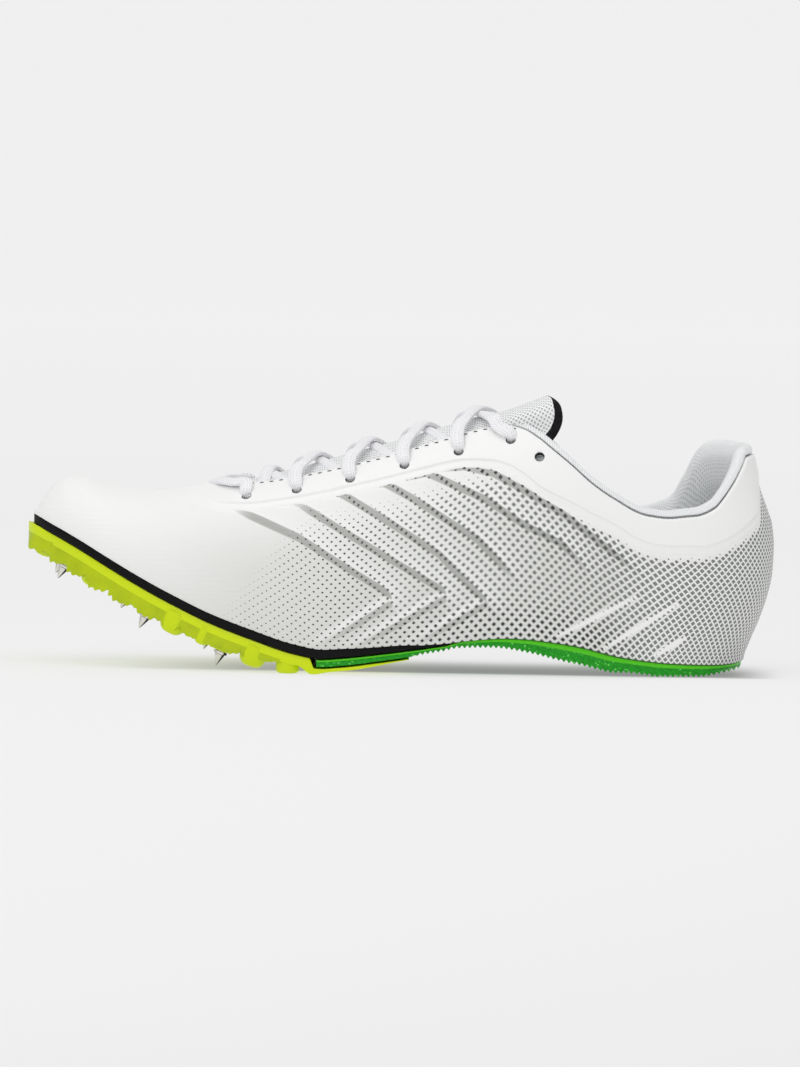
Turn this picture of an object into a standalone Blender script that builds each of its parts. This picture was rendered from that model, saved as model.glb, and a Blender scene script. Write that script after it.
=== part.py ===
"""A sprint spike for the left foot, European size 42.5, as separate closed solids.

Units are metres. The toe points to -X, the foot's outer side to -Y, and the shoe stands on Z = 0.
Stations run along the last from 0 at the toe to 1 at the back of the heel seat. Every table
holds shares of the named sizes below it, one row for each station.
"""

import math

import bmesh
import bpy
import numpy as np

# Overall sizes
LENGTH = 0.288
BALL_WIDTH = 0.087
INSTEP_HEIGHT = 0.109
TOE_SPRING = 0.059
PLATE_LIP = 0.0019
HEEL_OVERHANG = 0.0108
COUNTER_HEIGHT = 0.085

# Upper
WALL = 0.0015
OVERLAY = 0.0008
PANEL_WIDTH = 0.012
COLLAR_DIP = 0.058
WALL_SWELL = 0.0034
EYELET_RADIUS = 0.0019
EYELET_INSET = 0.0082

# Sole
FOAM = 0.0036
PLATE = 0.0034
TAIL = 0.0013
RUBBER = 0.0069
SOLE_INSET = 0.0008
INSOLE = 0.0033
TOOTH_PITCH = 0.002
TOOTH_DEPTH = 0.0011
RIB_WIDTH = 0.009
LUG_RADIUS = 0.0052
LUG_HEIGHT = 0.0062
BOSS_RADIUS = 0.0052
BOSS_HEIGHT = 0.0047
PIN_LENGTH = 0.0062
PIN_RADIUS = 0.0026
SHANK_RADIUS = 0.0016
SHANK_DEPTH = 0.0022

# Tongue, lining and lace
TONGUE = 0.0032
TONGUE_REACH = 0.026
BINDING = 0.0024
LINING = 0.0046
LINING_REACH = 0.024
ROLL_HEIGHT = 0.0038
LACE_WIDTH = 0.0048
LACE_THICKNESS = 0.0019
DIVE_SHORT = 0.0035
LACE_LEAN = 36

GAP = 0.0003

# Shares of the sizes above: what a lug, boss or pin narrows to, and the pin's shoulder
LUG_TIP = 0.45
REST_LUG_ROOT = 0.86
REST_LUG_TIP = 0.6
BOSS_TIP = 0.8
FLANGE = 0.45
SHOULDER = 0.66
SHOULDER_DEPTH = 1.3
PIN_TIP = 0.08

# Shares for the rubber's brow over its teeth, the tape's top, and the tongue's narrow front
BROW = 0.3
TAPE_TOP = 0.7
TONGUE_FRONT = 0.55
TONGUE_TUCKS = (0.45, 0.85)

# Shares for the lining at its front ends, and the stations over which it grows to full size
PAD_FRONT = 0.45
ROLL_FRONT = 0.3
REACH_FRONT = 0.5
PAD_GROWTH = 0.12
REACH_GROWTH = 0.1

# Shares for the lace: the flat of its section, the lift of the strand that crosses over, where
# a diving end levels out, and where an end over an eyelet stops and arches
LACE_FLAT = 0.6
CROSS_LIFT = 0.6
DIVE_LEVEL = 2.2
EYELET_STOP = 0.9
EYELET_ARCH = 0.2
ARCH_LIFT = 1.4

# Places along the last, as stations
THROAT_STATION = 0.25
FAN_STATION = 0.52
BULGE_START = 0.78
FOAM_START = 0.0008
FOAM_END = 0.585
FOAM_FADE = 0.012
PLATE_START = 0.0025
PLATE_END = 0.53
LIP_END = 0.03
RUBBER_START = 0.402
RUBBER_END = 0.996
TOOTH_START = 0.535
TOOTH_END = 0.994
INSOLE_STATIONS = (0.025, 0.982)
HEEL_REST = (0.868, 0.936)
LINING_START = 0.675
LINING_END = 0.9995
TONGUE_STATIONS = (0.272, 0.731)
TONGUE_WIDENS = (0.26, 0.40)
TUCK = 0.045
CREST_STEP = 0.01
BAR_STATION = 0.262
DIVE_LEAD = 0.014
EYELET_STATIONS = (0.301, 0.371, 0.445, 0.52, 0.595, 0.667, 0.709)

# Plan outline of the feather line: shares of half the ball width
OUTLINE_COLUMNS = ("station", "outer", "inner", "ridge")
OUTLINE = (
    (0.000, -0.144, 0.144, 0.144),
    (0.006, 0.017, 0.305, 0.144),
    (0.020, 0.155, 0.443, 0.143),
    (0.050, 0.339, 0.615, 0.140),
    (0.100, 0.546, 0.788, 0.135),
    (0.160, 0.718, 0.914, 0.130),
    (0.230, 0.856, 0.995, 0.110),
    (0.300, 0.948, 1.029, 0.090),
    (0.370, 1.012, 0.983, 0.080),
    (0.430, 1.028, 0.891, 0.060),
    (0.500, 0.994, 0.765, 0.040),
    (0.580, 0.925, 0.661, 0.010),
    (0.660, 0.856, 0.615, 0.000),
    (0.740, 0.787, 0.638, 0.000),
    (0.820, 0.730, 0.696, 0.000),
    (0.890, 0.684, 0.707, 0.010),
    (0.940, 0.580, 0.638, 0.020),
    (0.975, 0.408, 0.489, 0.030),
    (0.993, 0.212, 0.305, 0.035),
    (1.000, -0.039, 0.039, 0.039),
)

# Side profile: the feather line as shares of the toe spring, the crest as shares of the instep
# height, the roundness of the section as an exponent, the swell as shares of WALL_SWELL
PROFILE_COLUMNS = ("station", "feather", "crest", "round", "swell")
PROFILE = (
    (0.0000, 1.000, 0.541, 2.20, 0.10),
    (0.0056, 0.984, 0.559, 2.20, 0.20),
    (0.0126, 0.966, 0.587, 2.20, 0.25),
    (0.0196, 0.948, 0.613, 2.20, 0.30),
    (0.0336, 0.914, 0.649, 2.20, 0.32),
    (0.0462, 0.882, 0.667, 2.25, 0.35),
    (0.0714, 0.814, 0.675, 2.25, 0.35),
    (0.1050, 0.719, 0.657, 2.25, 0.35),
    (0.1500, 0.596, 0.643, 2.20, 0.36),
    (0.1780, 0.525, 0.641, 2.15, 0.38),
    (0.2100, 0.448, 0.650, 2.12, 0.40),
    (0.2500, 0.357, 0.668, 2.10, 0.40),
    (0.3095, 0.256, 0.692, 2.08, 0.42),
    (0.3740, 0.164, 0.729, 2.05, 0.45),
    (0.4076, 0.141, 0.751, 2.05, 0.50),
    (0.4410, 0.156, 0.774, 2.08, 0.55),
    (0.5080, 0.190, 0.823, 2.10, 0.65),
    (0.5756, 0.212, 0.878, 2.12, 0.75),
    (0.6260, 0.239, 0.917, 2.15, 0.80),
    (0.6597, 0.247, 0.937, 2.20, 0.85),
    (0.6930, 0.242, 0.969, 2.25, 0.90),
    (0.7250, 0.225, 1.000, 2.30, 0.95),
    (0.7605, 0.200, 1.024, 2.35, 1.00),
    (0.8277, 0.127, 1.068, 2.40, 1.00),
    (0.8950, 0.092, 1.108, 2.40, 1.00),
    (0.9620, 0.081, 1.124, 2.40, 0.80),
    (1.0000, 0.103, 1.128, 2.40, 0.30),
)

# The opening's edge: how far it lies under the crest on each side, as shares of the collar dip,
# and how wide the raised panel below it is, as shares of the panel width
EDGE_COLUMNS = ("station", "outer_fall", "inner_fall", "panel")
EDGE = (
    (0.2500, 0.000, 0.000, 1.00),
    (0.3095, 0.034, 0.034, 1.33),
    (0.3600, 0.053, 0.053, 1.20),
    (0.4330, 0.072, 0.072, 1.10),
    (0.5060, 0.080, 0.080, 1.06),
    (0.5810, 0.092, 0.092, 1.03),
    (0.6400, 0.104, 0.104, 1.40),
    (0.6650, 0.112, 0.112, 1.55),
    (0.6850, 0.150, 0.150, 1.68),
    (0.7045, 0.241, 0.241, 1.65),
    (0.7240, 0.360, 0.360, 1.45),
    (0.7520, 0.529, 0.529, 1.18),
    (0.7800, 0.679, 0.679, 0.93),
    (0.8080, 0.807, 0.807, 0.78),
    (0.8500, 0.969, 0.969, 0.84),
    (0.8810, 1.019, 0.991, 0.88),
    (0.9060, 1.022, 0.897, 0.95),
    (0.9286, 0.988, 0.738, 1.05),
    (0.9440, 0.928, 0.666, 1.18),
    (0.9620, 0.838, 0.652, 1.35),
    (0.9800, 0.732, 0.650, 1.50),
    (0.9900, 0.665, 0.650, 1.20),
    (1.0000, 0.652, 0.652, 0.30),
)

# Back of the heel, from the floor up: height as shares of the counter, bulge as shares of the
# heel's overhang
BACK = (
    (0.00, 0.00),
    (0.07, 0.00),
    (0.15, 0.20),
    (0.26, 0.55),
    (0.37, 0.82),
    (0.46, 0.96),
    (0.58, 1.00),
    (0.68, 0.93),
    (0.75, 0.75),
    (0.82, 0.54),
    (0.88, 0.39),
    (0.94, 0.25),
    (1.00, 0.14),
    (1.15, 0.00),
)

# Thickness of the layers under the feather line, as shares of FOAM and RUBBER
LAYER_COLUMNS = ("station", "foam", "rubber")
LAYERS = (
    (0.00, 1.00, 0.43),
    (0.37, 1.00, 0.43),
    (0.44, 0.96, 0.43),
    (0.48, 0.84, 0.40),
    (0.51, 0.70, 0.38),
    (0.54, 0.50, 0.36),
    (0.58, 0.24, 0.34),
    (0.62, 0.24, 0.45),
    (0.66, 0.24, 0.57),
    (0.70, 0.24, 0.78),
    (0.76, 0.24, 1.00),
    (0.80, 0.24, 1.00),
    (0.84, 0.24, 0.80),
    (0.90, 0.24, 0.77),
    (0.94, 0.24, 0.66),
    (0.97, 0.24, 0.46),
    (1.00, 0.24, 0.30),
)

# Lugs of the plate: station, place across as a share of the outline (outer side negative), and
# size and height as shares of LUG_RADIUS and LUG_HEIGHT
LUGS = (
    (0.021, -0.38, 0.64, 0.95),
    (0.021, 0.42, 0.64, 0.95),
    (0.052, 0.15, 0.60, 0.85),
    (0.093, -0.72, 1.00, 1.05),
    (0.093, 0.80, 1.00, 1.05),
    (0.100, 0.10, 0.70, 0.85),
    (0.131, -0.80, 0.66, 0.85),
    (0.150, 0.05, 0.70, 0.80),
    (0.206, -0.86, 1.05, 1.05),
    (0.206, 0.86, 1.05, 1.05),
    (0.205, 0.02, 0.80, 0.80),
    (0.246, -0.91, 0.60, 0.80),
    (0.258, 0.05, 0.80, 0.80),
    (0.316, -0.87, 1.05, 0.95),
    (0.316, 0.88, 1.05, 0.95),
    (0.312, 0.00, 0.80, 0.80),
)

# The rest lugs at the ball, which stand on the floor
REST_LUG_STATION = 0.362
REST_LUG_PLACES = (-0.87, 0.0, 0.87)

# Pins: station, and place across as a share of the outline
PINS = (
    (0.054, -0.36),
    (0.047, 0.66),
    (0.171, -0.62),
    (0.140, 0.70),
    (0.2745, -0.66),
    (0.2535, 0.72),
)

# How finely the forms are divided
UPPER_COLUMNS = 76
WALL_ROWS = 8
PANEL_ROWS = 4
PATH_SAMPLES = 160
SLOPE_STEP = 0.004
SOLE_SECTIONS = 38
FOAM_SECTIONS = 30
SMOOTH_SECTIONS = 12
INSOLE_SECTIONS = 38
TONGUE_SECTIONS = 16
TONGUE_POINTS = 9
LINING_SECTIONS = 30
LACE_SECTIONS = 9
LUG_SIDES = 8
BOSS_SIDES = 8
PIN_SIDES = 6
HOLE_SIDES = 8
CRISP_ANGLE = 35

# Finishes: base colour, roughness and metallic value
FINISHES = {
    "upper": ((0.90, 0.90, 0.89), 0.55, 0.0),
    "lining": ((0.80, 0.85, 0.92), 0.85, 0.0),
    "mesh": ((0.88, 0.88, 0.88), 0.85, 0.0),
    "tape": ((0.012, 0.012, 0.013), 0.70, 0.0),
    "lace": ((0.90, 0.89, 0.94), 0.80, 0.0),
    "foam": ((0.004, 0.004, 0.006), 0.50, 0.0),
    "plate": ((0.55, 0.70, 0.00), 0.30, 0.0),
    "rubber": ((0.02, 0.40, 0.02), 0.45, 0.0),
    "steel": ((0.62, 0.62, 0.60), 0.22, 1.0),
    "insole": ((0.55, 0.58, 0.60), 0.85, 0.0),
}


def read(table, columns, name, at):
    """A column of a table at the given stations, by a smooth curve through its rows.

    Stations are turned to angles first, so that the round ends of the shoe come out round.
    """
    rows = np.array(table)
    known = np.arccos(1 - 2 * rows[:, 0])
    values = rows[:, columns.index(name)]
    wanted = np.arccos(1 - 2 * np.clip(at, 0, 1))
    return hermite(known, values, wanted)


def hermite(known, values, wanted):
    """Cubic curve through known values, with limited slopes so that it never overshoots."""
    steps = np.diff(known)
    rises = np.diff(values) / steps
    slopes = np.zeros_like(values)
    same_way = rises[1:] * rises[:-1] > 0
    weight_a = 2 * steps[1:] + steps[:-1]
    weight_b = steps[1:] + 2 * steps[:-1]
    with np.errstate(divide="ignore", invalid="ignore"):
        mean = (weight_a + weight_b) / (weight_a / rises[:-1] + weight_b / rises[1:])
    slopes[1:-1] = np.where(same_way, mean, 0)
    slopes[0] = rises[0]
    slopes[-1] = rises[-1]
    index = np.clip(np.searchsorted(known, wanted, side="right") - 1, 0, len(steps) - 1)
    step = steps[index]
    t = (wanted - known[index]) / step
    start = (1 + 2 * t) * (1 - t) ** 2 * values[index] + t * (1 - t) ** 2 * step * slopes[index]
    end = t * t * (3 - 2 * t) * values[index + 1] - t * t * (1 - t) * step * slopes[index + 1]
    return start + end


def ease(value, low, high):
    """0 below low, 1 above high, and a smooth rise between."""
    t = np.clip((value - low) / (high - low), 0, 1)
    return t * t * (3 - 2 * t)


def place_x(station):
    """X of a station, without the bulge of the heel."""
    front = -LENGTH / 2 + PLATE_LIP
    back = LENGTH / 2 - HEEL_OVERHANG
    return front + (back - front) * np.asarray(station, float)


def side_y(station, side):
    """Y of the feather line; side is -1 for the outer side and 1 for the inner side."""
    outer = -read(OUTLINE, OUTLINE_COLUMNS, "outer", station)
    inner = read(OUTLINE, OUTLINE_COLUMNS, "inner", station)
    return np.where(np.asarray(side) < 0, outer, inner) * BALL_WIDTH / 2


def ridge_y(station):
    return read(OUTLINE, OUTLINE_COLUMNS, "ridge", station) * BALL_WIDTH / 2


def feather_z(station):
    return read(PROFILE, PROFILE_COLUMNS, "feather", station) * TOE_SPRING


def crest_z(station):
    return np.maximum(
        read(PROFILE, PROFILE_COLUMNS, "crest", station) * INSTEP_HEIGHT, feather_z(station)
    )


def roundness(station):
    return read(PROFILE, PROFILE_COLUMNS, "round", station)


def edge_rise(station, side):
    """Height of the opening's edge, as a share of the way from the feather line to the crest."""
    outer = read(EDGE, EDGE_COLUMNS, "outer_fall", np.maximum(station, THROAT_STATION))
    inner = read(EDGE, EDGE_COLUMNS, "inner_fall", np.maximum(station, THROAT_STATION))
    fall = np.where(np.asarray(side) < 0, outer, inner) * COLLAR_DIP
    return np.clip(1 - fall / (crest_z(station) - feather_z(station)), 0, 1)


def swelled(station, side, y, z):
    """The point with the wall's swell added sideways and the heel's bulge added backwards."""
    low = feather_z(station)
    share = np.clip((z - low) / np.maximum(crest_z(station) - low, GAP), 0, 1)
    swell = read(PROFILE, PROFILE_COLUMNS, "swell", station) * WALL_SWELL
    y = y + np.asarray(side) * swell * np.sin(math.pi * np.sqrt(share))
    rows = np.array(BACK)
    height = np.clip(z, 0, BACK[-1][0] * COUNTER_HEIGHT)
    bulge = hermite(rows[:, 0] * COUNTER_HEIGHT, rows[:, 1], height)
    x = place_x(station) + HEEL_OVERHANG * bulge * ease(station, BULGE_START, 1.0)
    return np.stack(np.broadcast_arrays(x, y, z), axis=-1)


def section(station, side, angle):
    """A point of the last's surface: half a superellipse from feather line (0) to crest (pi / 2)."""
    power = 2 / roundness(station)
    ridge = ridge_y(station)
    y = ridge + (side_y(station, side) - ridge) * np.cos(angle) ** power
    low = feather_z(station)
    z = low + (crest_z(station) - low) * np.sin(angle) ** power
    return swelled(station, side, y, z)


def edge_angle(station, side):
    return np.arcsin(edge_rise(station, side) ** (roundness(station) / 2))


def fan_path(foot, top, side):
    """The line up the wall from the feather line at station foot to the edge at station top.

    In plan it is straight. Its height is the section's height at each place it crosses, so the
    columns of the forefoot fan out from the throat over the toe without leaving the surface.
    """
    end = edge_angle(top, side)
    angle = end * np.linspace(0, 1, PATH_SAMPLES)
    if top - foot < GAP:
        return section(np.full_like(angle, top), side, angle)
    across = np.cos(angle) ** (2 / roundness(top))
    share = (1 - across) / (1 - across[-1])
    station = foot + (top - foot) * share
    ridge = ridge_y(station)
    start_y = side_y(foot, side)
    end_y = ridge_y(top) + (side_y(top, side) - ridge_y(top)) * across[-1]
    y = start_y + (end_y - start_y) * share
    half = side_y(station, side) - ridge
    with np.errstate(divide="ignore", invalid="ignore"):
        offset = np.where(np.abs(half) > GAP, (y - ridge) / half, 0)
    offset = np.clip(offset, 0, 1)
    offset[0] = 1
    power = roundness(station)
    rise = (1 - offset**power) ** (1 / power)
    low = feather_z(station)
    return swelled(station, side, y, low + (crest_z(station) - low) * rise)


def along(path, distances):
    """Points of a path at the given distances from its start."""
    steps = np.linalg.norm(np.diff(path, axis=0), axis=1)
    run = np.concatenate(([0], np.cumsum(steps)))
    return np.stack([np.interp(distances, run, path[:, i]) for i in range(3)], axis=-1)


def path_length(path):
    return np.linalg.norm(np.diff(path, axis=0), axis=1).sum()


def normals_of(grid):
    """Unit normals of a grid whose first axis closes on itself, pointing out of the shoe."""
    round_way = np.roll(grid, -1, axis=0) - np.roll(grid, 1, axis=0)
    up_way = np.gradient(grid, axis=1)
    normal = np.cross(round_way, up_way)
    return normal / np.maximum(np.linalg.norm(normal, axis=2, keepdims=True), 1e-12)


def upper_grid():
    """The last's surface as columns round the shoe, each with rows from feather line to edge."""
    turn = np.arange(UPPER_COLUMNS) / UPPER_COLUMNS
    half = 1 - np.abs(1 - 2 * turn)
    feet = (1 - np.cos(math.pi * half)) / 2
    tops = feet + THROAT_STATION * np.clip(1 - feet / FAN_STATION, 0, 1) ** 2
    columns = []
    for share, foot, top in zip(turn, feet, tops):
        path = fan_path(foot, top, -1 if share <= 0.5 else 1)
        total = path_length(path)
        panel = PANEL_WIDTH * float(read(EDGE, EDGE_COLUMNS, "panel", max(top, THROAT_STATION)))
        step_at = total - panel
        rows = np.concatenate(
            (
                np.linspace(0, step_at - OVERLAY, WALL_ROWS),
                np.linspace(step_at, total, PANEL_ROWS),
            )
        )
        columns.append(along(path, rows))
    return np.array(columns)


def outer_skin(grid):
    """The upper's outer face: the last's surface, with the panel raised by the overlay."""
    lift = np.zeros(grid.shape[1])
    lift[WALL_ROWS:] = OVERLAY
    return grid + normals_of(grid) * lift[None, :, None]


def inner_skin(grid):
    return grid - normals_of(grid) * WALL


def surface_frame(station, side, distance):
    """Point, outward normal and upward tangent at a distance down the wall from the opening's edge.

    A negative distance lies inside the opening, on the surface carried on to the crest.
    """
    angles = math.pi / 2 * np.linspace(0, 1, PATH_SAMPLES)
    path = section(np.full_like(angles, station), side, angles)
    runs = np.concatenate(([0], np.cumsum(np.linalg.norm(np.diff(path, axis=0), axis=1))))
    run = float(np.interp(float(edge_angle(station, side)), angles, runs)) - distance
    low, point, high = along(path, np.array([run - GAP, run, run + GAP]))
    here = float(np.interp(run, runs, angles))
    ahead = section(np.array([min(station + SLOPE_STEP, 1)]), side, np.array([here]))[0]
    behind = section(np.array([station - SLOPE_STEP]), side, np.array([here]))[0]
    normal = np.cross(high - low, behind - ahead) * -side
    return point, normal / np.linalg.norm(normal), (high - low) / np.linalg.norm(high - low)


def foam_under(station):
    return feather_z(station) - FOAM * read(LAYERS, LAYER_COLUMNS, "foam", station)


def rubber_top(station):
    """The rubber lies under the foam, and under the upper itself once the foam has ended."""
    shared = 1 - ease(station, FOAM_END - FOAM_FADE, FOAM_END + FOAM_FADE)
    return feather_z(station) - GAP - shared * (feather_z(station) - foam_under(station))


def rubber_under(station):
    """The rubber's underside, flat on the floor under the heel."""
    depth = RUBBER * read(LAYERS, LAYER_COLUMNS, "rubber", station)
    free = np.maximum(rubber_top(station) - depth, 0)
    resting = (station >= HEEL_REST[0]) & (station <= HEEL_REST[1])
    return np.where(resting, 0, free)


def plate_top(station):
    """Under the foam at the forefoot, and under the rubber where the plate runs on as a tail."""
    front = foam_under(station) - GAP
    tail = rubber_under(station) - 2.5 * GAP
    dropped = ease(station, RUBBER_START - 0.028, RUBBER_START - 0.004)
    return front + (tail - front) * dropped


def plate_under(station):
    tail = TAIL * (1 - 0.75 * ease(station, RUBBER_START + 0.05, PLATE_END))
    depth = PLATE + (tail - PLATE) * ease(station, RUBBER_START - 0.04, RUBBER_START + 0.02)
    return np.maximum(plate_top(station) - depth, 0)


def new_object(name, mesh, finish, collection):
    obj = bpy.data.objects.new(name, mesh)
    collection.objects.link(obj)
    obj.data.materials.append(finish)
    obj.data.shade_smooth()
    obj.data.set_sharp_from_angle(angle=math.radians(CRISP_ANGLE))
    return obj


def loft(name, rings, closed):
    """A mesh through rings of points, with the last ring joined to the first, or both capped."""
    rings = np.asarray(rings, float)
    count, size = rings.shape[:2]
    spans = count if closed else count - 1
    a = np.arange(spans)[:, None] * size
    b = ((np.arange(spans) + 1) % count)[:, None] * size
    here = np.arange(size)[None, :]
    there = (here + 1) % size
    faces = np.stack((a + here, a + there, b + there, b + here), axis=-1).reshape(-1, 4).tolist()
    if not closed:
        faces.append(list(range(size))[::-1])
        faces.append(list(range((count - 1) * size, count * size)))
    mesh = bpy.data.meshes.new(name)
    mesh.from_pydata(rings.reshape(-1, 3).tolist(), [], faces)
    face_out(mesh)
    return mesh


def face_out(mesh):
    shape = bmesh.new()
    shape.from_mesh(mesh)
    bmesh.ops.recalc_face_normals(shape, faces=shape.faces)
    if shape.calc_volume(signed=True) < 0:
        bmesh.ops.reverse_faces(shape, faces=shape.faces)
    shape.to_mesh(mesh)
    shape.free()


def inset_y(station, side, inset):
    """Y of a line that lies inside the outline by inset, measured square to the outline."""
    ahead, behind = min(station + SLOPE_STEP, 1), max(station - SLOPE_STEP, 0)
    rise = float(side_y(ahead, side) - side_y(behind, side))
    run = float(place_x(ahead) - place_x(behind))
    return float(side_y(station, side)) - side * inset * math.hypot(1, rise / run)


def slab(stations, top, under, inset, bevel=0.0):
    """Rings of a layer of the sole: flat across, with its under edge drawn in by bevel."""
    rings = []
    for station in stations:
        x = float(place_x(station))
        outer = inset_y(station, -1, inset)
        inner = inset_y(station, 1, inset)
        room = max((inner - outer) / 2 - GAP, 0)
        drawn = min(bevel, room)
        high, low = float(top(station)), float(under(station))
        middle = low + min(bevel, (high - low) / 2)
        rings.append(
            (
                (x, outer, high),
                (x, inner, high),
                (x, inner, middle),
                (x, inner - drawn, low),
                (x, outer + drawn, low),
                (x, outer, middle),
            )
        )
    return rings


def spaced(first, last, count):
    """Stations between two ends, closer together near the round ends of the shoe."""
    low, high = math.acos(1 - 2 * first), math.acos(1 - 2 * last)
    return (1 - np.cos(np.linspace(low, high, count))) / 2


def make_upper(collection, finishes, cutters):
    grid = upper_grid()
    rings = np.concatenate((outer_skin(grid), inner_skin(grid)[:, ::-1]), axis=1)
    upper = new_object("upper", loft("upper", rings, closed=True), finishes["upper"], collection)
    punch = bmesh.new()
    depth = 4 * (WALL + OVERLAY)
    for station in EYELET_STATIONS:
        for side in (-1, 1):
            point, normal, _ = surface_frame(station, side, EYELET_INSET)
            start = point - normal / np.linalg.norm(normal) * depth / 2
            add_cone(punch, start, normal, EYELET_RADIUS, EYELET_RADIUS, depth, HOLE_SIDES)
    cut(upper, punch, "eyelet_punch", cutters)


def add_cone(shape, base, direction, near_radius, far_radius, length, sides):
    """Adds a closed cone or cylinder that runs from base along direction."""
    direction = np.asarray(direction, float) / np.linalg.norm(direction)
    helper = np.array((0.0, 1.0, 0.0)) if abs(direction[1]) < 0.9 else np.array((1.0, 0.0, 0.0))
    right = np.cross(helper, direction)
    right /= np.linalg.norm(right)
    ahead = np.cross(direction, right)
    start = np.asarray(base, float)
    angles = np.arange(sides) * 2 * math.pi / sides
    rings = []
    for radius, offset in ((near_radius, 0.0), (far_radius, length)):
        centre = start + direction * offset
        spokes = [right * math.cos(a) + ahead * math.sin(a) for a in angles]
        rings.append([shape.verts.new(centre + radius * spoke) for spoke in spokes])
    shape.faces.new(rings[0][::-1])
    shape.faces.new(rings[1])
    for i in range(sides):
        j = (i + 1) % sides
        shape.faces.new((rings[0][i], rings[0][j], rings[1][j], rings[1][i]))


def helper_object(name, shape, collection):
    """A hidden mesh for a Boolean, from a bmesh that is freed here."""
    bmesh.ops.recalc_face_normals(shape, faces=shape.faces)
    mesh = bpy.data.meshes.new(name)
    shape.to_mesh(mesh)
    shape.free()
    obj = bpy.data.objects.new(name, mesh)
    obj.hide_render = True
    obj.display_type = "WIRE"
    collection.objects.link(obj)
    return obj


def boolean(obj, other, operation):
    modifier = obj.modifiers.new(operation.lower(), "BOOLEAN")
    modifier.operation = operation
    modifier.solver = "EXACT"
    modifier.object = other


def cut(obj, shape, name, cutters):
    boolean(obj, helper_object(name, shape, cutters), "DIFFERENCE")


def join(obj, shape, name, cutters):
    boolean(obj, helper_object(name, shape, cutters), "UNION")


def down_from_plate(station):
    """The direction square to the plate's underside, pointing at the track."""
    ahead, behind = station + SLOPE_STEP, station - SLOPE_STEP
    rise = float(plate_under(ahead) - plate_under(behind))
    run = float(place_x(ahead) - place_x(behind))
    normal = np.array((rise, 0.0, -run))
    return normal / np.linalg.norm(normal)


def under_point(station, across):
    """A point of the plate's underside, across being a share of the outline's width."""
    middle = float(side_y(station, -1) + side_y(station, 1)) / 2
    half = float(side_y(station, 1) - side_y(station, -1)) / 2
    return np.array((float(place_x(station)), middle + across * half, float(plate_under(station))))


def make_plate(collection, finishes, cutters):
    stations = spaced(PLATE_START, PLATE_END, SOLE_SECTIONS)
    rings = np.array(slab(stations, plate_top, plate_under, SOLE_INSET, bevel=SOLE_INSET))
    lip = float(place_x(stations[0])) + LENGTH / 2
    rings[..., 0] -= lip * (1 - ease(stations, 0.0, LIP_END))[:, None]
    mesh = loft("spike_plate", rings, closed=False)
    plate = new_object("spike_plate", mesh, finishes["plate"], collection)
    sunk = PLATE / 2
    for index, (station, across, size, height) in enumerate(LUGS, 1):
        shape = bmesh.new()
        down = down_from_plate(station)
        radius = LUG_RADIUS * size
        length = LUG_HEIGHT * height + sunk
        start = under_point(station, across) - down * sunk
        add_cone(shape, start, down, radius, radius * LUG_TIP, length, LUG_SIDES)
        join(plate, shape, f"lug_{index}", cutters)
    for index, across in enumerate(REST_LUG_PLACES, 1):
        shape = bmesh.new()
        start = under_point(REST_LUG_STATION, across) + np.array((0, 0, sunk))
        root, tip = LUG_RADIUS * REST_LUG_ROOT, LUG_RADIUS * REST_LUG_TIP
        add_cone(shape, start, (0, 0, -1), root, tip, start[2], LUG_SIDES)
        join(plate, shape, f"rest_lug_{index}", cutters)
    wells = bmesh.new()
    for index, (station, across) in enumerate(PINS, 1):
        shape = bmesh.new()
        down = down_from_plate(station)
        foot = under_point(station, across)
        start, length = foot - down * sunk, BOSS_HEIGHT + sunk
        add_cone(shape, start, down, BOSS_RADIUS, BOSS_RADIUS * BOSS_TIP, length, BOSS_SIDES)
        join(plate, shape, f"boss_{index}", cutters)
        face = foot + down * BOSS_HEIGHT
        start, length = face + down * SHANK_DEPTH, 2 * SHANK_DEPTH + GAP
        add_cone(wells, start, -down, SHANK_RADIUS + GAP, SHANK_RADIUS + GAP, length, HOLE_SIDES)
        make_pin(f"pin_{index}", face, down, collection, finishes)
    cut(plate, wells, "pin_wells", cutters)


def make_pin(name, face, down, collection, finishes):
    """A steel pin: a shank in the well, a flange on the boss and a six-sided point."""
    right = np.cross((0.0, 1.0, 0.0), down)
    right /= np.linalg.norm(right)
    ahead = np.cross(down, right)
    flange = PIN_RADIUS * FLANGE
    profile = (
        (SHANK_RADIUS, -SHANK_DEPTH),
        (SHANK_RADIUS, GAP),
        (PIN_RADIUS, GAP),
        (PIN_RADIUS, flange),
        (PIN_RADIUS * SHOULDER, flange * SHOULDER_DEPTH),
        (PIN_RADIUS * PIN_TIP, PIN_LENGTH),
    )
    angles = np.arange(PIN_SIDES) * 2 * math.pi / PIN_SIDES
    spokes = [right * math.cos(a) + ahead * math.sin(a) for a in angles]
    rings = [[face + down * depth + radius * spoke for spoke in spokes] for radius, depth in profile]
    new_object(name, loft(name, rings, closed=False), finishes["steel"], collection)


def make_midsole(collection, finishes):
    stations = spaced(FOAM_START, FOAM_END, FOAM_SECTIONS)
    rings = slab(stations, lambda s: feather_z(s) - GAP, foam_under, 0.0)
    new_object("midsole", loft("midsole", rings, closed=False), finishes["foam"], collection)


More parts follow.
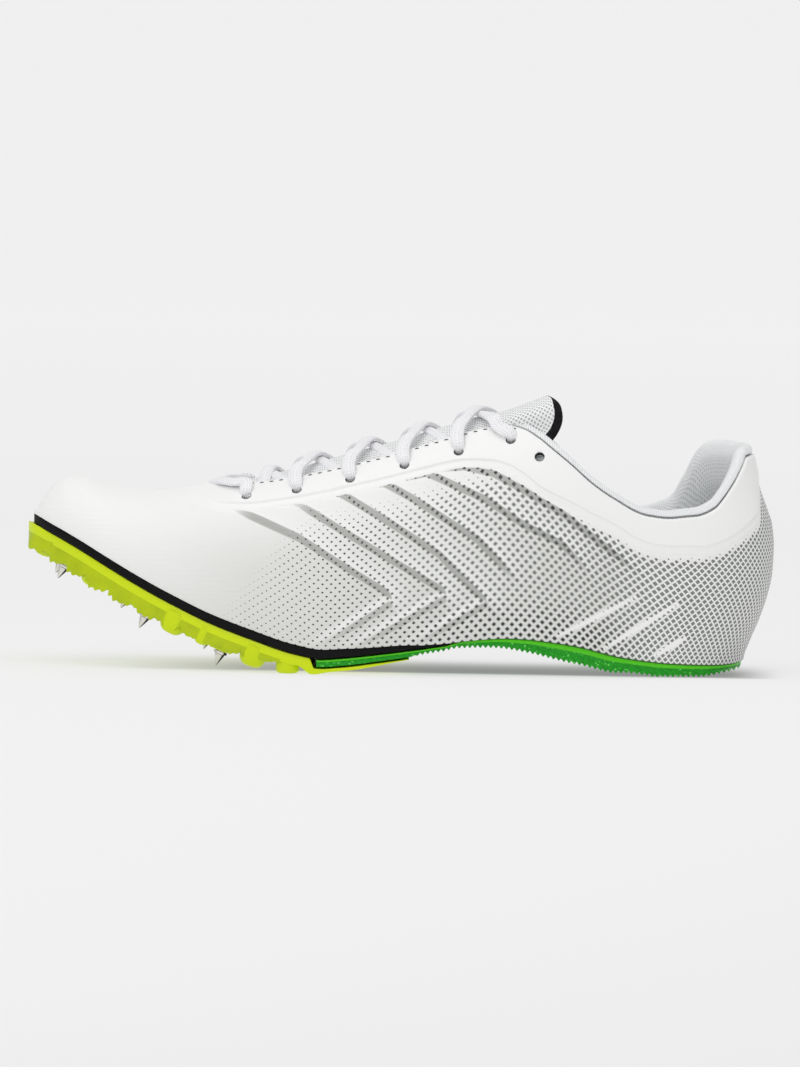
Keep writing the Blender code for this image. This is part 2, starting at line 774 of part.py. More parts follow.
def make_outsole(collection, finishes):
    """The rubber: its two edges are ribs at the tooth pitch, with a smooth strip between them."""
    tooth = TOOTH_PITCH / float(place_x(1) - place_x(0))
    smooth = spaced(RUBBER_START, TOOTH_START, SMOOTH_SECTIONS)
    teeth = np.arange(TOOTH_START + tooth / 2, TOOTH_END, tooth / 2)
    rings = []
    for index, station in enumerate(np.concatenate((smooth, teeth, [RUBBER_END]))):
        x = float(place_x(station))
        toothed = TOOTH_START < station < TOOTH_END
        cut_in = TOOTH_DEPTH * (index % 2) if toothed else 0
        outer = inset_y(station, -1, SOLE_INSET)
        inner = inset_y(station, 1, SOLE_INSET)
        width = inner - outer
        rib = min(RIB_WIDTH, width / 3)
        high = float(rubber_top(station)) - (GAP if station < FOAM_END + FOAM_FADE else 0)
        low = float(rubber_under(station))
        notch = min(low + cut_in, high - 2 * GAP)
        brow = high - (high - notch) * BROW
        rings.append(
            (
                (x, outer, high),
                (x, inner, high),
                (x, inner, brow),
                (x, inner - GAP, notch),
                (x, inner - rib, low),
                (x, outer + rib, low),
                (x, outer + GAP, notch),
                (x, outer, brow),
            )
        )
    mesh = loft("heel_outsole", rings, closed=False)
    new_object("heel_outsole", mesh, finishes["rubber"], collection)


def make_insole(collection, finishes):
    inset = WALL + 3 * GAP
    stations = spaced(*INSOLE_STATIONS, INSOLE_SECTIONS)
    rings = slab(
        stations, lambda s: feather_z(s) + INSOLE, lambda s: feather_z(s) + GAP, inset, bevel=GAP
    )
    new_object("insole", loft("insole", rings, closed=False), finishes["insole"], collection)


def tongue_surface(station, across, depth):
    """A point of the tongue, across from -1 to 1, depth under the last's surface."""
    side = -1 if across < 0 else 1
    angles = np.linspace(math.pi / 2, 0, PATH_SAMPLES)
    path = section(np.full_like(angles, station), side, angles)
    widened = TONGUE_FRONT + (1 - TONGUE_FRONT) * ease(station, *TONGUE_WIDENS)
    reach = float(TONGUE_REACH * widened)
    point = along(path, np.array([abs(across) * reach]))[0]
    beyond = along(path, np.array([abs(across) * reach + GAP]))[0]
    tangent = beyond - point
    under_lining = ease(station, LINING_START - TUCK, LINING_START) * ease(abs(across), *TONGUE_TUCKS)
    depth = depth + float(under_lining) * (LINING + WALL)
    normal = np.array((0.0, -tangent[2] * side, tangent[1] * side))
    ahead, behind = station + CREST_STEP, station - CREST_STEP
    slope = float(crest_z(ahead) - crest_z(behind)) / float(place_x(ahead) - place_x(behind))
    normal = normal / np.linalg.norm(normal) + np.array((-slope, 0.0, 0.0))
    normal /= np.linalg.norm(normal)
    return point - normal * depth


def make_tongue(collection, finishes):
    start, end = TONGUE_STATIONS
    clear = WALL + GAP
    across = np.linspace(-1, 1, TONGUE_POINTS)
    rings = []
    for station in np.linspace(start, end, TONGUE_SECTIONS):
        top = [tongue_surface(station, share, clear) for share in across]
        bottom = [tongue_surface(station, share, clear + TONGUE) for share in across[::-1]]
        rings.append(top + bottom)
    new_object("tongue", loft("tongue", rings, closed=False), finishes["mesh"], collection)
    step = np.array((GAP, 0.0, 0.0))
    width = np.array((BINDING, 0.0, 0.0))
    tape = []
    for share in across:
        top = tongue_surface(end, share, clear) + step
        bottom = tongue_surface(end, share, clear + TONGUE) + step
        tape.append((top, top + width * TAPE_TOP, bottom + width, bottom))
    mesh = loft("tongue_binding", tape, closed=False)
    new_object("tongue_binding", mesh, finishes["tape"], collection)


def make_lining(collection, finishes):
    """The padded band inside the collar, whose top rolls over the upper's edge."""
    low, high = LINING_START, 1.0
    half = np.linspace(0, 1, LINING_SECTIONS // 2 + 1)
    outer = [(low + (high - low) * math.sin(share * math.pi / 2), -1) for share in half]
    inner = [(station, 1) for station, _ in outer[-2::-1]]
    rings = []
    for station, side in outer + inner:
        rings.append(lining_ring(min(station, LINING_END), side))
    mesh = loft("collar_lining", rings, closed=False)
    new_object("collar_lining", mesh, finishes["lining"], collection)


def grown(station, front, growth):
    """A share that grows from front, at the lining's start, to 1 over the given growth."""
    return front + (1 - front) * float(ease(station, LINING_START, LINING_START + growth))


def lining_ring(station, side):
    """The lining's section, from its lower edge up outside, over the roll and down inside."""
    reach = LINING_REACH * grown(station, REACH_FRONT, REACH_GROWTH)
    edge, normal, up = surface_frame(station, side, 0)
    clear = WALL + 2 * GAP
    pad = LINING * grown(station, PAD_FRONT, PAD_GROWTH)
    roll = ROLL_HEIGHT * grown(station, ROLL_FRONT, PAD_GROWTH)
    lower, lower_normal, _ = surface_frame(station, side, reach)
    middle, middle_normal, _ = surface_frame(station, side, reach / 2)
    return (
        lower - lower_normal * clear,
        middle - middle_normal * clear,
        edge - normal * clear,
        edge - normal * clear + up * GAP * 3,
        edge + normal * OVERLAY * 0.6 + up * GAP * 3,
        edge + normal * OVERLAY * 0.4 + up * roll * 0.7,
        edge - normal * pad * 0.35 + up * roll,
        edge - normal * pad * 0.85 + up * roll * 0.8,
        edge - normal * (clear + pad * 0.9) - up * roll * 0.3,
        middle - middle_normal * (clear + pad),
        lower - lower_normal * (clear + pad * 0.3),
    )


def strand_end(station, side, dives):
    """Two points of a strand's end, outermost first.

    An end that dives stops short of the opening's edge, on its way under it. The other kind
    comes over the edge and stops above its eyelet.
    """
    over = OVERLAY + 3 * GAP + LACE_THICKNESS / 2
    on_tongue = LACE_THICKNESS / 2 - WALL + GAP
    places = ((-DIVE_SHORT, on_tongue), (-DIVE_LEVEL * DIVE_SHORT, on_tongue + GAP))
    if not dives:
        places = ((EYELET_INSET * EYELET_STOP, over), (EYELET_INSET * EYELET_ARCH, over * ARCH_LIFT))
    points = []
    for distance, lift in places:
        point, normal, _ = surface_frame(station, side, distance)
        points.append(point + normal * lift)
    return points


def lace_strand(start, end, middle_station, middle_lift):
    """Points of a strand between two ends, each given as (station, side, dives)."""
    middle = section(np.array([middle_station]), 1, np.array([math.pi / 2]))[0]
    middle = middle + np.array((0.0, 0.0, middle_lift))
    knots = np.array((*strand_end(*start), middle, *strand_end(*end)[::-1]))
    known = np.concatenate(([0], np.cumsum(np.linalg.norm(np.diff(knots, axis=0), axis=1))))
    wanted = np.linspace(0, known[-1], LACE_SECTIONS)
    return np.stack([hermite(known, knots[:, i], wanted) for i in range(3)], axis=-1)


def ridge_middle(path):
    return (path[0][1] + path[-1][1]) / 2


def strand_rings(path, raise_by):
    """The lace's six-sided section along a strand, arched up by raise_by at its middle."""
    tangents = np.gradient(path, axis=0)
    tangents /= np.linalg.norm(tangents, axis=1, keepdims=True)
    rings = []
    for index, (point, tangent) in enumerate(zip(path, tangents)):
        share = index / (len(path) - 1)
        lean = np.array((0.0, (point[1] - ridge_middle(path)) * LACE_LEAN, 1.0))
        flat = np.cross(tangent, lean)
        flat /= np.linalg.norm(flat)
        up = np.cross(flat, tangent)
        centre = point + up * raise_by * math.sin(math.pi * share)
        wide, thick = flat * LACE_WIDTH / 2, up * LACE_THICKNESS / 2
        rings.append(
            (
                centre - wide,
                centre - wide * LACE_FLAT - thick,
                centre + wide * LACE_FLAT - thick,
                centre + wide,
                centre + wide * LACE_FLAT + thick,
                centre - wide * LACE_FLAT + thick,
            )
        )
    return rings


def make_laces(collection, finishes, cutters):
    """The bar at the front, and a crossing between each eyelet row and the next.

    Both strands of the first crossing run under the eyestay at both ends. Those of the next
    three rise from an eyelet and dive at the far side, and the last ones end above an eyelet.
    """
    lift = OVERLAY + GAP + LACE_THICKNESS / 2
    low_lift = LACE_THICKNESS / 2 - WALL + 2 * GAP
    first = EYELET_STATIONS[0]
    path = lace_strand((first, -1, False), (first, 1, False), BAR_STATION, lift)
    mesh = loft("lace_bar", strand_rings(path, 0.0), closed=False)
    new_object("lace_bar", mesh, finishes["lace"], collection)
    pairs = list(zip(EYELET_STATIONS[:5], EYELET_STATIONS[1:6]))
    for index, (front, back) in enumerate(pairs, 1):
        name = f"lace_crossing_{index}"
        starts_low, ends_low = index == 1, index < len(pairs)
        front_station = front + (DIVE_LEAD if starts_low else 0)
        back_station = back - (DIVE_LEAD if ends_low else 0)
        middle = (front + back) / 2
        height = low_lift if starts_low else lift
        ends = [
            lace_strand((front_station, side, starts_low), (back_station, -side, ends_low), middle, height)
            for side in (1, -1)
        ]
        under, over = ends
        mesh = loft(name, strand_rings(under, 0.0), closed=False)
        crossing = new_object(name, mesh, finishes["lace"], collection)
        other = bmesh.new()
        strand = loft(f"strand_{index}", strand_rings(over, LACE_THICKNESS * CROSS_LIFT), closed=False)
        other.from_mesh(strand)
        join(crossing, other, f"strand_{index}", cutters)


def finish_of(name, colour, roughness_value, metallic):
    material = bpy.data.materials.new(name)
    material.use_nodes = True
    shader = material.node_tree.nodes["Principled BSDF"]
    shader.inputs["Base Color"].default_value = (*colour, 1.0)
    shader.inputs["Roughness"].default_value = roughness_value
    shader.inputs["Metallic"].default_value = metallic
    return material


def main():
    for obj in list(bpy.data.objects):
        bpy.data.objects.remove(obj)
    shoe = bpy.data.collections.new("track_spike_shoe")
    cutters = bpy.data.collections.new("cutters")
    bpy.context.scene.collection.children.link(shoe)
    bpy.context.scene.collection.children.link(cutters)
    finishes = {name: finish_of(name, *values) for name, values in FINISHES.items()}
    make_upper(shoe, finishes, cutters)
    make_midsole(shoe, finishes)
    make_plate(shoe, finishes, cutters)
    make_outsole(shoe, finishes)
    make_insole(shoe, finishes)
    make_tongue(shoe, finishes)
    make_lining(shoe, finishes)
    make_laces(shoe, finishes, cutters)


main()
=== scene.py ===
"""Looks of a sprint spike for the left foot: white film-backed mesh over a bright track sole.

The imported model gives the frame, and each piece below stands for one of its nodes or more. The
toe points to -X, the foot's outer side to -Y, and the shoe stands on Z = 0. Lengths are metres.
A station runs along the last from 0 at the toe to 1 at the back of the heel seat.
"""

from __future__ import annotations

import logging
import math
from dataclasses import dataclass
from enum import IntEnum

import bpy
import numpy as np
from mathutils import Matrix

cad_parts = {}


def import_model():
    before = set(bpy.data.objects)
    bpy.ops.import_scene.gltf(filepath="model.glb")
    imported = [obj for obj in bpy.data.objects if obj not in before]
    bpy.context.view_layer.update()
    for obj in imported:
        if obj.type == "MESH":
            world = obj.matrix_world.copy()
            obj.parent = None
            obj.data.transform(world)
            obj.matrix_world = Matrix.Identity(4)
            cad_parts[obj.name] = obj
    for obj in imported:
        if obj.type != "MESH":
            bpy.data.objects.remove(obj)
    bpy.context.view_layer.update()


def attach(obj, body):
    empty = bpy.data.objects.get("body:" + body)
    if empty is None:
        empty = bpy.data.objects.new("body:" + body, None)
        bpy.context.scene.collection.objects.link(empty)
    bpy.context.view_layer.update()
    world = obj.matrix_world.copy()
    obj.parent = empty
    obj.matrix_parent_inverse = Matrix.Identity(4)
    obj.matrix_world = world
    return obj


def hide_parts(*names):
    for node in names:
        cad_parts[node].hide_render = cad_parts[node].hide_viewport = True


Array = np.ndarray
LOG = logging.getLogger("spike")
MM = 0.001
GAP = 0.3 * MM
BODY = "root"


class Side(IntEnum):
    """The two sides of the foot, as the sign of Y."""

    OUTER = -1
    INNER = 1


def hermite(known: Array, values: Array, wanted: Array) -> Array:
    """A cubic curve through known values, with limited slopes so that it never overshoots.

    Each inner slope is the weighted harmonic mean of its two neighbours' rises, or zero where
    the values turn.

    Args:
        known: Places of the values, rising.
        values: The values there.
        wanted: Places to read, of any shape.

    Returns:
        The curve's values at the wanted places.
    """
    steps = np.diff(known)
    rises = np.diff(values) / steps
    slopes = np.zeros_like(values)
    same_way = rises[1:] * rises[:-1] > 0
    weight_a = 2 * steps[1:] + steps[:-1]
    weight_b = steps[1:] + 2 * steps[:-1]
    with np.errstate(divide="ignore", invalid="ignore"):
        mean = (weight_a + weight_b) / (weight_a / rises[:-1] + weight_b / rises[1:])
    slopes[1:-1] = np.where(same_way, mean, 0)
    slopes[0] = rises[0]
    slopes[-1] = rises[-1]
    index = np.clip(np.searchsorted(known, wanted, side="right") - 1, 0, len(steps) - 1)
    step = steps[index]
    t = (wanted - known[index]) / step
    start = (1 + 2 * t) * (1 - t) ** 2 * values[index] + t * (1 - t) ** 2 * step * slopes[index]
    end = t * t * (3 - 2 * t) * values[index + 1] - t * t * (1 - t) * step * slopes[index + 1]
    return start + end


def ease(value: Array, low: float, high: float) -> Array:
    """0 below low, 1 above high, and the smooth rise 3t^2 - 2t^3 between."""
    t = np.clip((np.asarray(value, float) - low) / (high - low), 0, 1)
    return t * t * (3 - 2 * t)


def unit(vectors: Array) -> Array:
    """The vectors at length one."""
    return vectors / np.maximum(np.linalg.norm(vectors, axis=-1, keepdims=True), 1e-12)


def resample(paths: Array, wanted: Array) -> Array:
    """Points of many paths at given distances from their starts.

    Each path's running length is scaled to one and set off by the path's number, so that one
    straight-line interpolation reads them all.

    Args:
        paths: Array (n, samples, channels) whose first three channels are the place.
        wanted: Array (n, k) of distances along each path.

    Returns:
        Array (n, k, channels).
    """
    steps = np.linalg.norm(np.diff(paths[..., :3], axis=1), axis=2)
    runs = np.concatenate((np.zeros((len(paths), 1)), np.cumsum(steps, axis=1)), axis=1)
    total = runs[:, -1:]
    row = np.arange(len(paths))[:, None]
    known = (runs / total * 0.999 + row).ravel()
    places = (np.clip(wanted / total, 0, 1) * 0.999 + row).ravel()
    channels = [np.interp(places, known, paths[..., c].ravel()) for c in range(paths.shape[2])]
    return np.stack(channels, axis=-1).reshape(*wanted.shape, paths.shape[2])


def path_lengths(paths: Array) -> Array:
    """The length of each path of an array (n, samples, channels)."""
    return np.linalg.norm(np.diff(paths[..., :3], axis=1), axis=2).sum(axis=1)


@dataclass(frozen=True)
class Table:
    """A short table of the last: named columns, and a row for each station."""

    columns: tuple[str, ...]
    rows: tuple[tuple[float, ...], ...]

    def read(self, name: str, station: Array) -> Array:
        """A column at the stations, by a smooth curve in the angle arccos(1 - 2 station)."""
        rows = np.array(self.rows)
        known = np.arccos(1 - 2 * rows[:, 0])
        wanted = np.arccos(1 - 2 * np.clip(station, 0, 1))
        return hermite(known, rows[:, self.columns.index(name)], wanted)


# Plan outline of the feather line: shares of half the ball width
OUTLINE = Table(
    ("station", "outer", "inner", "ridge"),
    (
        (0.000, -0.144, 0.144, 0.144),
        (0.006, 0.017, 0.305, 0.144),
        (0.020, 0.155, 0.443, 0.143),
        (0.050, 0.339, 0.615, 0.140),
        (0.100, 0.546, 0.788, 0.135),
        (0.160, 0.718, 0.914, 0.130),
        (0.230, 0.856, 0.995, 0.110),
        (0.300, 0.948, 1.029, 0.090),
        (0.370, 1.012, 0.983, 0.080),
        (0.430, 1.028, 0.891, 0.060),
        (0.500, 0.994, 0.765, 0.040),
        (0.580, 0.925, 0.661, 0.010),
        (0.660, 0.856, 0.615, 0.000),
        (0.740, 0.787, 0.638, 0.000),
        (0.820, 0.730, 0.696, 0.000),
        (0.890, 0.684, 0.707, 0.010),
        (0.940, 0.580, 0.638, 0.020),
        (0.975, 0.408, 0.489, 0.030),
        (0.993, 0.212, 0.305, 0.035),
        (1.000, -0.039, 0.039, 0.039),
    ),
)

# Side profile: feather line as shares of the toe spring, crest as shares of the instep height,
# the section's roundness as an exponent, and the wall's swell as shares of its greatest swell
PROFILE = Table(
    ("station", "feather", "crest", "round", "swell"),
    (
        (0.0000, 0.975, 0.528, 2.20, 0.10),
        (0.0056, 0.962, 0.549, 2.20, 0.20),
        (0.0126, 0.948, 0.578, 2.20, 0.25),
        (0.0196, 0.932, 0.605, 2.20, 0.30),
        (0.0336, 0.901, 0.642, 2.20, 0.32),
        (0.0462, 0.873, 0.659, 2.25, 0.35),
        (0.0714, 0.812, 0.662, 2.25, 0.35),
        (0.1050, 0.724, 0.638, 2.25, 0.35),
        (0.1500, 0.608, 0.623, 2.20, 0.36),
        (0.1780, 0.540, 0.621, 2.15, 0.38),
        (0.2100, 0.468, 0.629, 2.12, 0.40),
        (0.2500, 0.383, 0.648, 2.10, 0.40),
        (0.3095, 0.282, 0.680, 2.08, 0.42),
        (0.3740, 0.189, 0.724, 2.05, 0.45),
        (0.4076, 0.163, 0.749, 2.05, 0.50),
        (0.4410, 0.174, 0.774, 2.08, 0.55),
        (0.5080, 0.196, 0.823, 2.10, 0.65),
        (0.5756, 0.212, 0.878, 2.12, 0.75),
        (0.6260, 0.239, 0.917, 2.15, 0.80),
        (0.6597, 0.247, 0.937, 2.20, 0.85),
        (0.6930, 0.242, 0.969, 2.25, 0.90),
        (0.7250, 0.225, 1.000, 2.30, 0.95),
        (0.7605, 0.200, 1.024, 2.35, 1.00),
        (0.8277, 0.127, 1.068, 2.40, 1.00),
        (0.8950, 0.092, 1.108, 2.40, 1.00),
        (0.9620, 0.081, 1.124, 2.40, 0.80),
        (1.0000, 0.103, 1.128, 2.40, 0.30),
    ),
)

# The opening's edge: its fall under the crest on each side as shares of the collar dip, and the
# width of the raised panel below it as shares of the panel width
EDGE = Table(
    ("station", "outer_fall", "inner_fall", "panel"),
    (
        (0.2500, 0.008, 0.008, 1.00),
        (0.3095, 0.058, 0.058, 1.21),
        (0.3600, 0.083, 0.083, 1.08),
        (0.4330, 0.104, 0.104, 0.99),
        (0.5060, 0.110, 0.110, 0.98),
        (0.5810, 0.111, 0.111, 1.03),
        (0.6400, 0.114, 0.114, 1.33),
        (0.6650, 0.137, 0.137, 1.46),
        (0.6850, 0.192, 0.192, 1.57),
        (0.7045, 0.280, 0.284, 1.60),
        (0.7240, 0.386, 0.400, 1.45),
        (0.7520, 0.529, 0.560, 1.18),
        (0.7800, 0.679, 0.722, 0.93),
        (0.8080, 0.807, 0.850, 0.78),
        (0.8500, 0.969, 1.005, 0.84),
        (0.8810, 1.019, 0.985, 0.88),
        (0.9060, 1.022, 0.850, 0.95),
        (0.9286, 0.988, 0.700, 1.05),
        (0.9440, 0.928, 0.645, 1.18),
        (0.9620, 0.838, 0.632, 1.35),
        (0.9800, 0.732, 0.636, 1.50),
        (0.9900, 0.665, 0.650, 1.20),
        (1.0000, 0.652, 0.652, 0.30),
    ),
)

# Back of the heel, from the floor up: height as shares of the counter, bulge as shares of the
# heel's overhang
BACK = np.array(
    (
        (0.00, 0.00),
        (0.07, 0.00),
        (0.15, 0.20),
        (0.26, 0.55),
        (0.37, 0.82),
        (0.46, 0.96),
        (0.58, 1.00),
        (0.68, 0.93),
        (0.75, 0.75),
        (0.82, 0.54),
        (0.88, 0.39),
        (0.94, 0.25),
        (1.00, 0.14),
        (1.15, 0.00),
    )
)

# Thickness of the layers under the feather line, as shares of the foam and of the rubber
LAYERS = Table(
    ("station", "foam", "rubber"),
    (
        (0.00, 1.00, 0.43),
        (0.37, 1.00, 0.43),
        (0.44, 0.96, 0.43),
        (0.48, 0.84, 0.40),
        (0.51, 0.70, 0.38),
        (0.54, 0.50, 0.36),
        (0.58, 0.24, 0.34),
        (0.62, 0.24, 0.45),
        (0.66, 0.24, 0.57),
        (0.70, 0.24, 0.78),
        (0.76, 0.24, 1.00),
        (0.80, 0.24, 1.00),
        (0.84, 0.24, 0.80),
        (0.90, 0.24, 0.77),
        (0.94, 0.24, 0.66),
        (0.97, 0.24, 0.46),
        (1.00, 0.24, 0.30),
    ),
)


@dataclass(frozen=True)
class Last:
    """The form that the shoe is built on, and the layers of the sole under it."""

    length: float = 0.288
    ball_width: float = 0.087
    instep_height: float = 0.109
    toe_spring: float = 0.059
    plate_lip: float = 0.0019
    heel_overhang: float = 0.0108
    counter_height: float = 0.085
    wall: float = 0.0015
    overlay: float = 0.0008
    panel_width: float = 0.012
    collar_dip: float = 0.058
    wall_swell: float = 0.0034
    foam: float = 0.0036
    plate: float = 0.0043
    tail: float = 0.0013
    rubber: float = 0.0069
    throat: float = 0.25
    fan: float = 0.52
    foam_end: float = 0.585
    plate_end: float = 0.53
    rubber_start: float = 0.402
    heel_rest: tuple[float, float] = (0.868, 0.936)
    samples: int = 160

    def place_x(self, station: Array) -> Array:
        """X of a station, without the bulge of the heel."""
        front = -self.length / 2 + self.plate_lip
        back = self.length / 2 - self.heel_overhang
        return front + (back - front) * np.asarray(station, float)

    def side_y(self, station: Array, side: Array) -> Array:
        """Y of the feather line on the side whose sign is given."""
        outer = -OUTLINE.read("outer", station)
        inner = OUTLINE.read("inner", station)
        return np.where(np.asarray(side) < 0, outer, inner) * self.ball_width / 2

    def ridge_y(self, station: Array) -> Array:
        """Y of the crest line."""
        return OUTLINE.read("ridge", station) * self.ball_width / 2

    def feather(self, station: Array) -> Array:
        """Height of the feather line, where upper and sole meet."""
        return PROFILE.read("feather", station) * self.toe_spring

    def crest(self, station: Array) -> Array:
        """Height of the last's top line."""
        top = PROFILE.read("crest", station) * self.instep_height
        return np.maximum(top, self.feather(station))

    def edge_angle(self, station: Array, side: Array) -> Array:
        """Angle of the opening's edge in the section."""
        held = np.maximum(station, self.throat)
        fall = np.where(np.asarray(side) < 0, EDGE.read("outer_fall", held), EDGE.read("inner_fall", held))
        rise = 1 - fall * self.collar_dip / np.maximum(self.crest(station) - self.feather(station), GAP)
        return np.arcsin(np.clip(rise, 0, 1) ** (PROFILE.read("round", station) / 2))

    def swelled(self, station: Array, side: Array, y: Array, z: Array) -> Array:
        """Places with the wall's swell added sideways and the heel's bulge backwards.

        The swell is the sine of pi times the square root of the share of the height.
        """
        low = self.feather(station)
        share = np.clip((z - low) / np.maximum(self.crest(station) - low, GAP), 0, 1)
        swell = PROFILE.read("swell", station) * self.wall_swell
        y = y + np.asarray(side) * swell * np.sin(math.pi * np.sqrt(share))
        top = BACK[-1, 0] * self.counter_height
        bulge = hermite(BACK[:, 0] * self.counter_height, BACK[:, 1], np.clip(z, 0, top))
        x = self.place_x(station) + self.heel_overhang * bulge * ease(station, 0.78, 1.0)
        return np.stack(np.broadcast_arrays(x, y, z), axis=-1)

    def section(self, station: Array, side: Array, angle: Array) -> Array:
        """Points of half a superellipse, from the feather line at 0 to the crest at pi / 2."""
        power = 2 / PROFILE.read("round", station)
        ridge = self.ridge_y(station)
        y = ridge + (self.side_y(station, side) - ridge) * np.cos(angle) ** power
        low = self.feather(station)
        z = low + (self.crest(station) - low) * np.sin(angle) ** power
        return self.swelled(station, side, y, z)

    def wall_paths(self, foot: Array, top: Array, side: Array) -> Array:
        """Lines up the wall from the feather line at foot to the opening's edge at top.

        In plan each line is straight, and its height is the section's height where it crosses,
        so the forefoot's lines fan out from the throat over the toe.

        Args:
            foot: Stations where the lines start.
            top: Stations where they meet the edge.
            side: Signs of their sides.

        Returns:
            Array (n, samples, 4) of places and stations.
        """
        foot, top, side = (np.asarray(v, float)[:, None] for v in (foot, top, side))
        angle = self.edge_angle(top, side) * np.linspace(0, 1, self.samples)
        across = np.cos(angle) ** (2 / PROFILE.read("round", top))
        share = (1 - across) / (1 - across[:, -1:])
        station = foot + (top - foot) * share
        ridge = self.ridge_y(station)
        start_y = self.side_y(foot, side)
        end_y = self.ridge_y(top) + (self.side_y(top, side) - self.ridge_y(top)) * across[:, -1:]
        y = start_y + (end_y - start_y) * share
        half = self.side_y(station, side) - ridge
        with np.errstate(divide="ignore", invalid="ignore"):
            offset = np.where(np.abs(half) > GAP, (y - ridge) / half, 0)
        offset = np.clip(offset, 0, 1)
        offset[:, 0] = 1
        power = PROFILE.read("round", station)
        rise = (1 - offset**power) ** (1 / power)
        low = self.feather(station)
        fanned = self.swelled(station, side, y, low + (self.crest(station) - low) * rise)
        upright = self.section(top + 0 * angle, side, angle)
        is_fan = top - foot >= GAP
        points = np.where(is_fan[..., None], fanned, upright)
        stations = np.where(is_fan, station, top)
        return np.concatenate((points, stations[..., None]), axis=-1)

    def frames(self, station: Array, side: Array, distance: Array) -> tuple[Array, Array, Array]:
        """Points, outward normals and upward tangents on the wall near the opening's edge.

        Args:
            station: Stations.
            side: Signs of the sides.
            distance: Distances down the wall from the edge; negative ones lie in the opening.

        Returns:
            Three arrays of the stations' shape with a last axis of 3.
        """
        inputs = np.broadcast_arrays(*(np.asarray(v, float) for v in (station, side, distance)))
        shape = inputs[0].shape
        station, side, distance = (v.ravel() for v in inputs)
        angles = math.pi / 2 * np.linspace(0, 1, self.samples)
        paths = self.section(station[:, None], side[:, None], angles[None, :] + 0 * station[:, None])
        paths = np.concatenate((paths, (angles[None, :] + 0 * station[:, None])[..., None]), axis=-1)
        steps = np.linalg.norm(np.diff(paths[..., :3], axis=1), axis=2)
        runs = np.concatenate((np.zeros((len(paths), 1)), np.cumsum(steps, axis=1)), axis=1)
        at = self.edge_angle(station, side) / (math.pi / 2) * (self.samples - 1)
        below = np.clip(at.astype(int), 0, self.samples - 2)
        rows = np.arange(len(paths))
        edge_run = runs[rows, below] + (runs[rows, below + 1] - runs[rows, below]) * (at - below)
        run = edge_run - distance
        three = resample(paths, np.stack((run - GAP, run, run + GAP), axis=1))
        low, point, high = three[:, 0, :3], three[:, 1, :3], three[:, 2, :3]
        here = three[:, 1, 3]
        ahead = self.section(np.minimum(station + 0.004, 1), side, here)
        behind = self.section(station - 0.004, side, here)
        normal = unit(np.cross(high - low, behind - ahead) * -side[:, None])
        up = unit(high - low)
        return tuple(v.reshape(*shape, 3) for v in (point, normal, up))

    def foam_under(self, station: Array) -> Array:
        """Height of the foam's underside."""
        return self.feather(station) - self.foam * LAYERS.read("foam", station)

    def rubber_top(self, station: Array) -> Array:
        """Height of the rubber's top, under the foam and then under the upper itself."""
        shared = 1 - ease(station, self.foam_end - 0.012, self.foam_end + 0.012)
        return self.feather(station) - GAP - shared * (self.feather(station) - self.foam_under(station))

    def rubber_under(self, station: Array) -> Array:
        """Height of the rubber's underside, flat on the floor under the heel."""
        depth = self.rubber * LAYERS.read("rubber", station)
        free = np.maximum(self.rubber_top(station) - depth, 0)
        low, high = self.heel_rest
        return np.where((station >= low) & (station <= high), 0, free)

    def plate_top(self, station: Array) -> Array:
        """Height of the plate's top, which runs on as a thin tail under the rubber."""
        return self.plate_line(station, 0.010, 0.003)

    def plate_line(self, station: Array, before: float, until: float) -> Array:
        """A height that falls from the foam's underside to the rubber's, just before the rubber."""
        front = self.foam_under(station) - GAP
        tail = self.rubber_under(station) - 2.5 * GAP
        return front + (tail - front) * ease(station, self.rubber_start - before, self.rubber_start - until)

    def plate_under(self, station: Array) -> Array:
        """Height of the plate's underside, without its lugs."""
        tail = self.tail * (1 - 0.75 * ease(station, self.rubber_start + 0.05, self.plate_end))
        thinned = ease(station, self.rubber_start - 0.04, self.rubber_start + 0.02)
        depth = self.plate + (tail - self.plate) * thinned
        return np.maximum(self.plate_line(station, 0.028, 0.004) - depth, 0)

    def inset_y(self, station: Array, side: Array, inset: Array) -> Array:
        """Y of a line inside the outline by inset, measured square to the outline."""
        ahead, behind = np.minimum(station + 0.004, 1), np.maximum(station - 0.004, 0)
        rise = self.side_y(ahead, side) - self.side_y(behind, side)
        run = self.place_x(ahead) - self.place_x(behind)
        return self.side_y(station, side) - side * inset * np.hypot(1, rise / run)


def spaced(first: float, last: float, count: int) -> Array:
    """Stations between two ends, closer together near the round ends of the shoe."""
    low, high = math.acos(1 - 2 * first), math.acos(1 - 2 * last)
    return (1 - np.cos(np.linspace(low, high, count))) / 2


def signed_volume(points: Array, quads: Array) -> float:
    """Volume that the faces close, positive where they point outwards."""
    a, b, c, d = (points[quads[:, i]] for i in range(4))
    first = np.einsum("ij,ij->i", a, np.cross(b, c))
    second = np.einsum("ij,ij->i", a, np.cross(c, d))
    return float((first + second).sum() / 6)


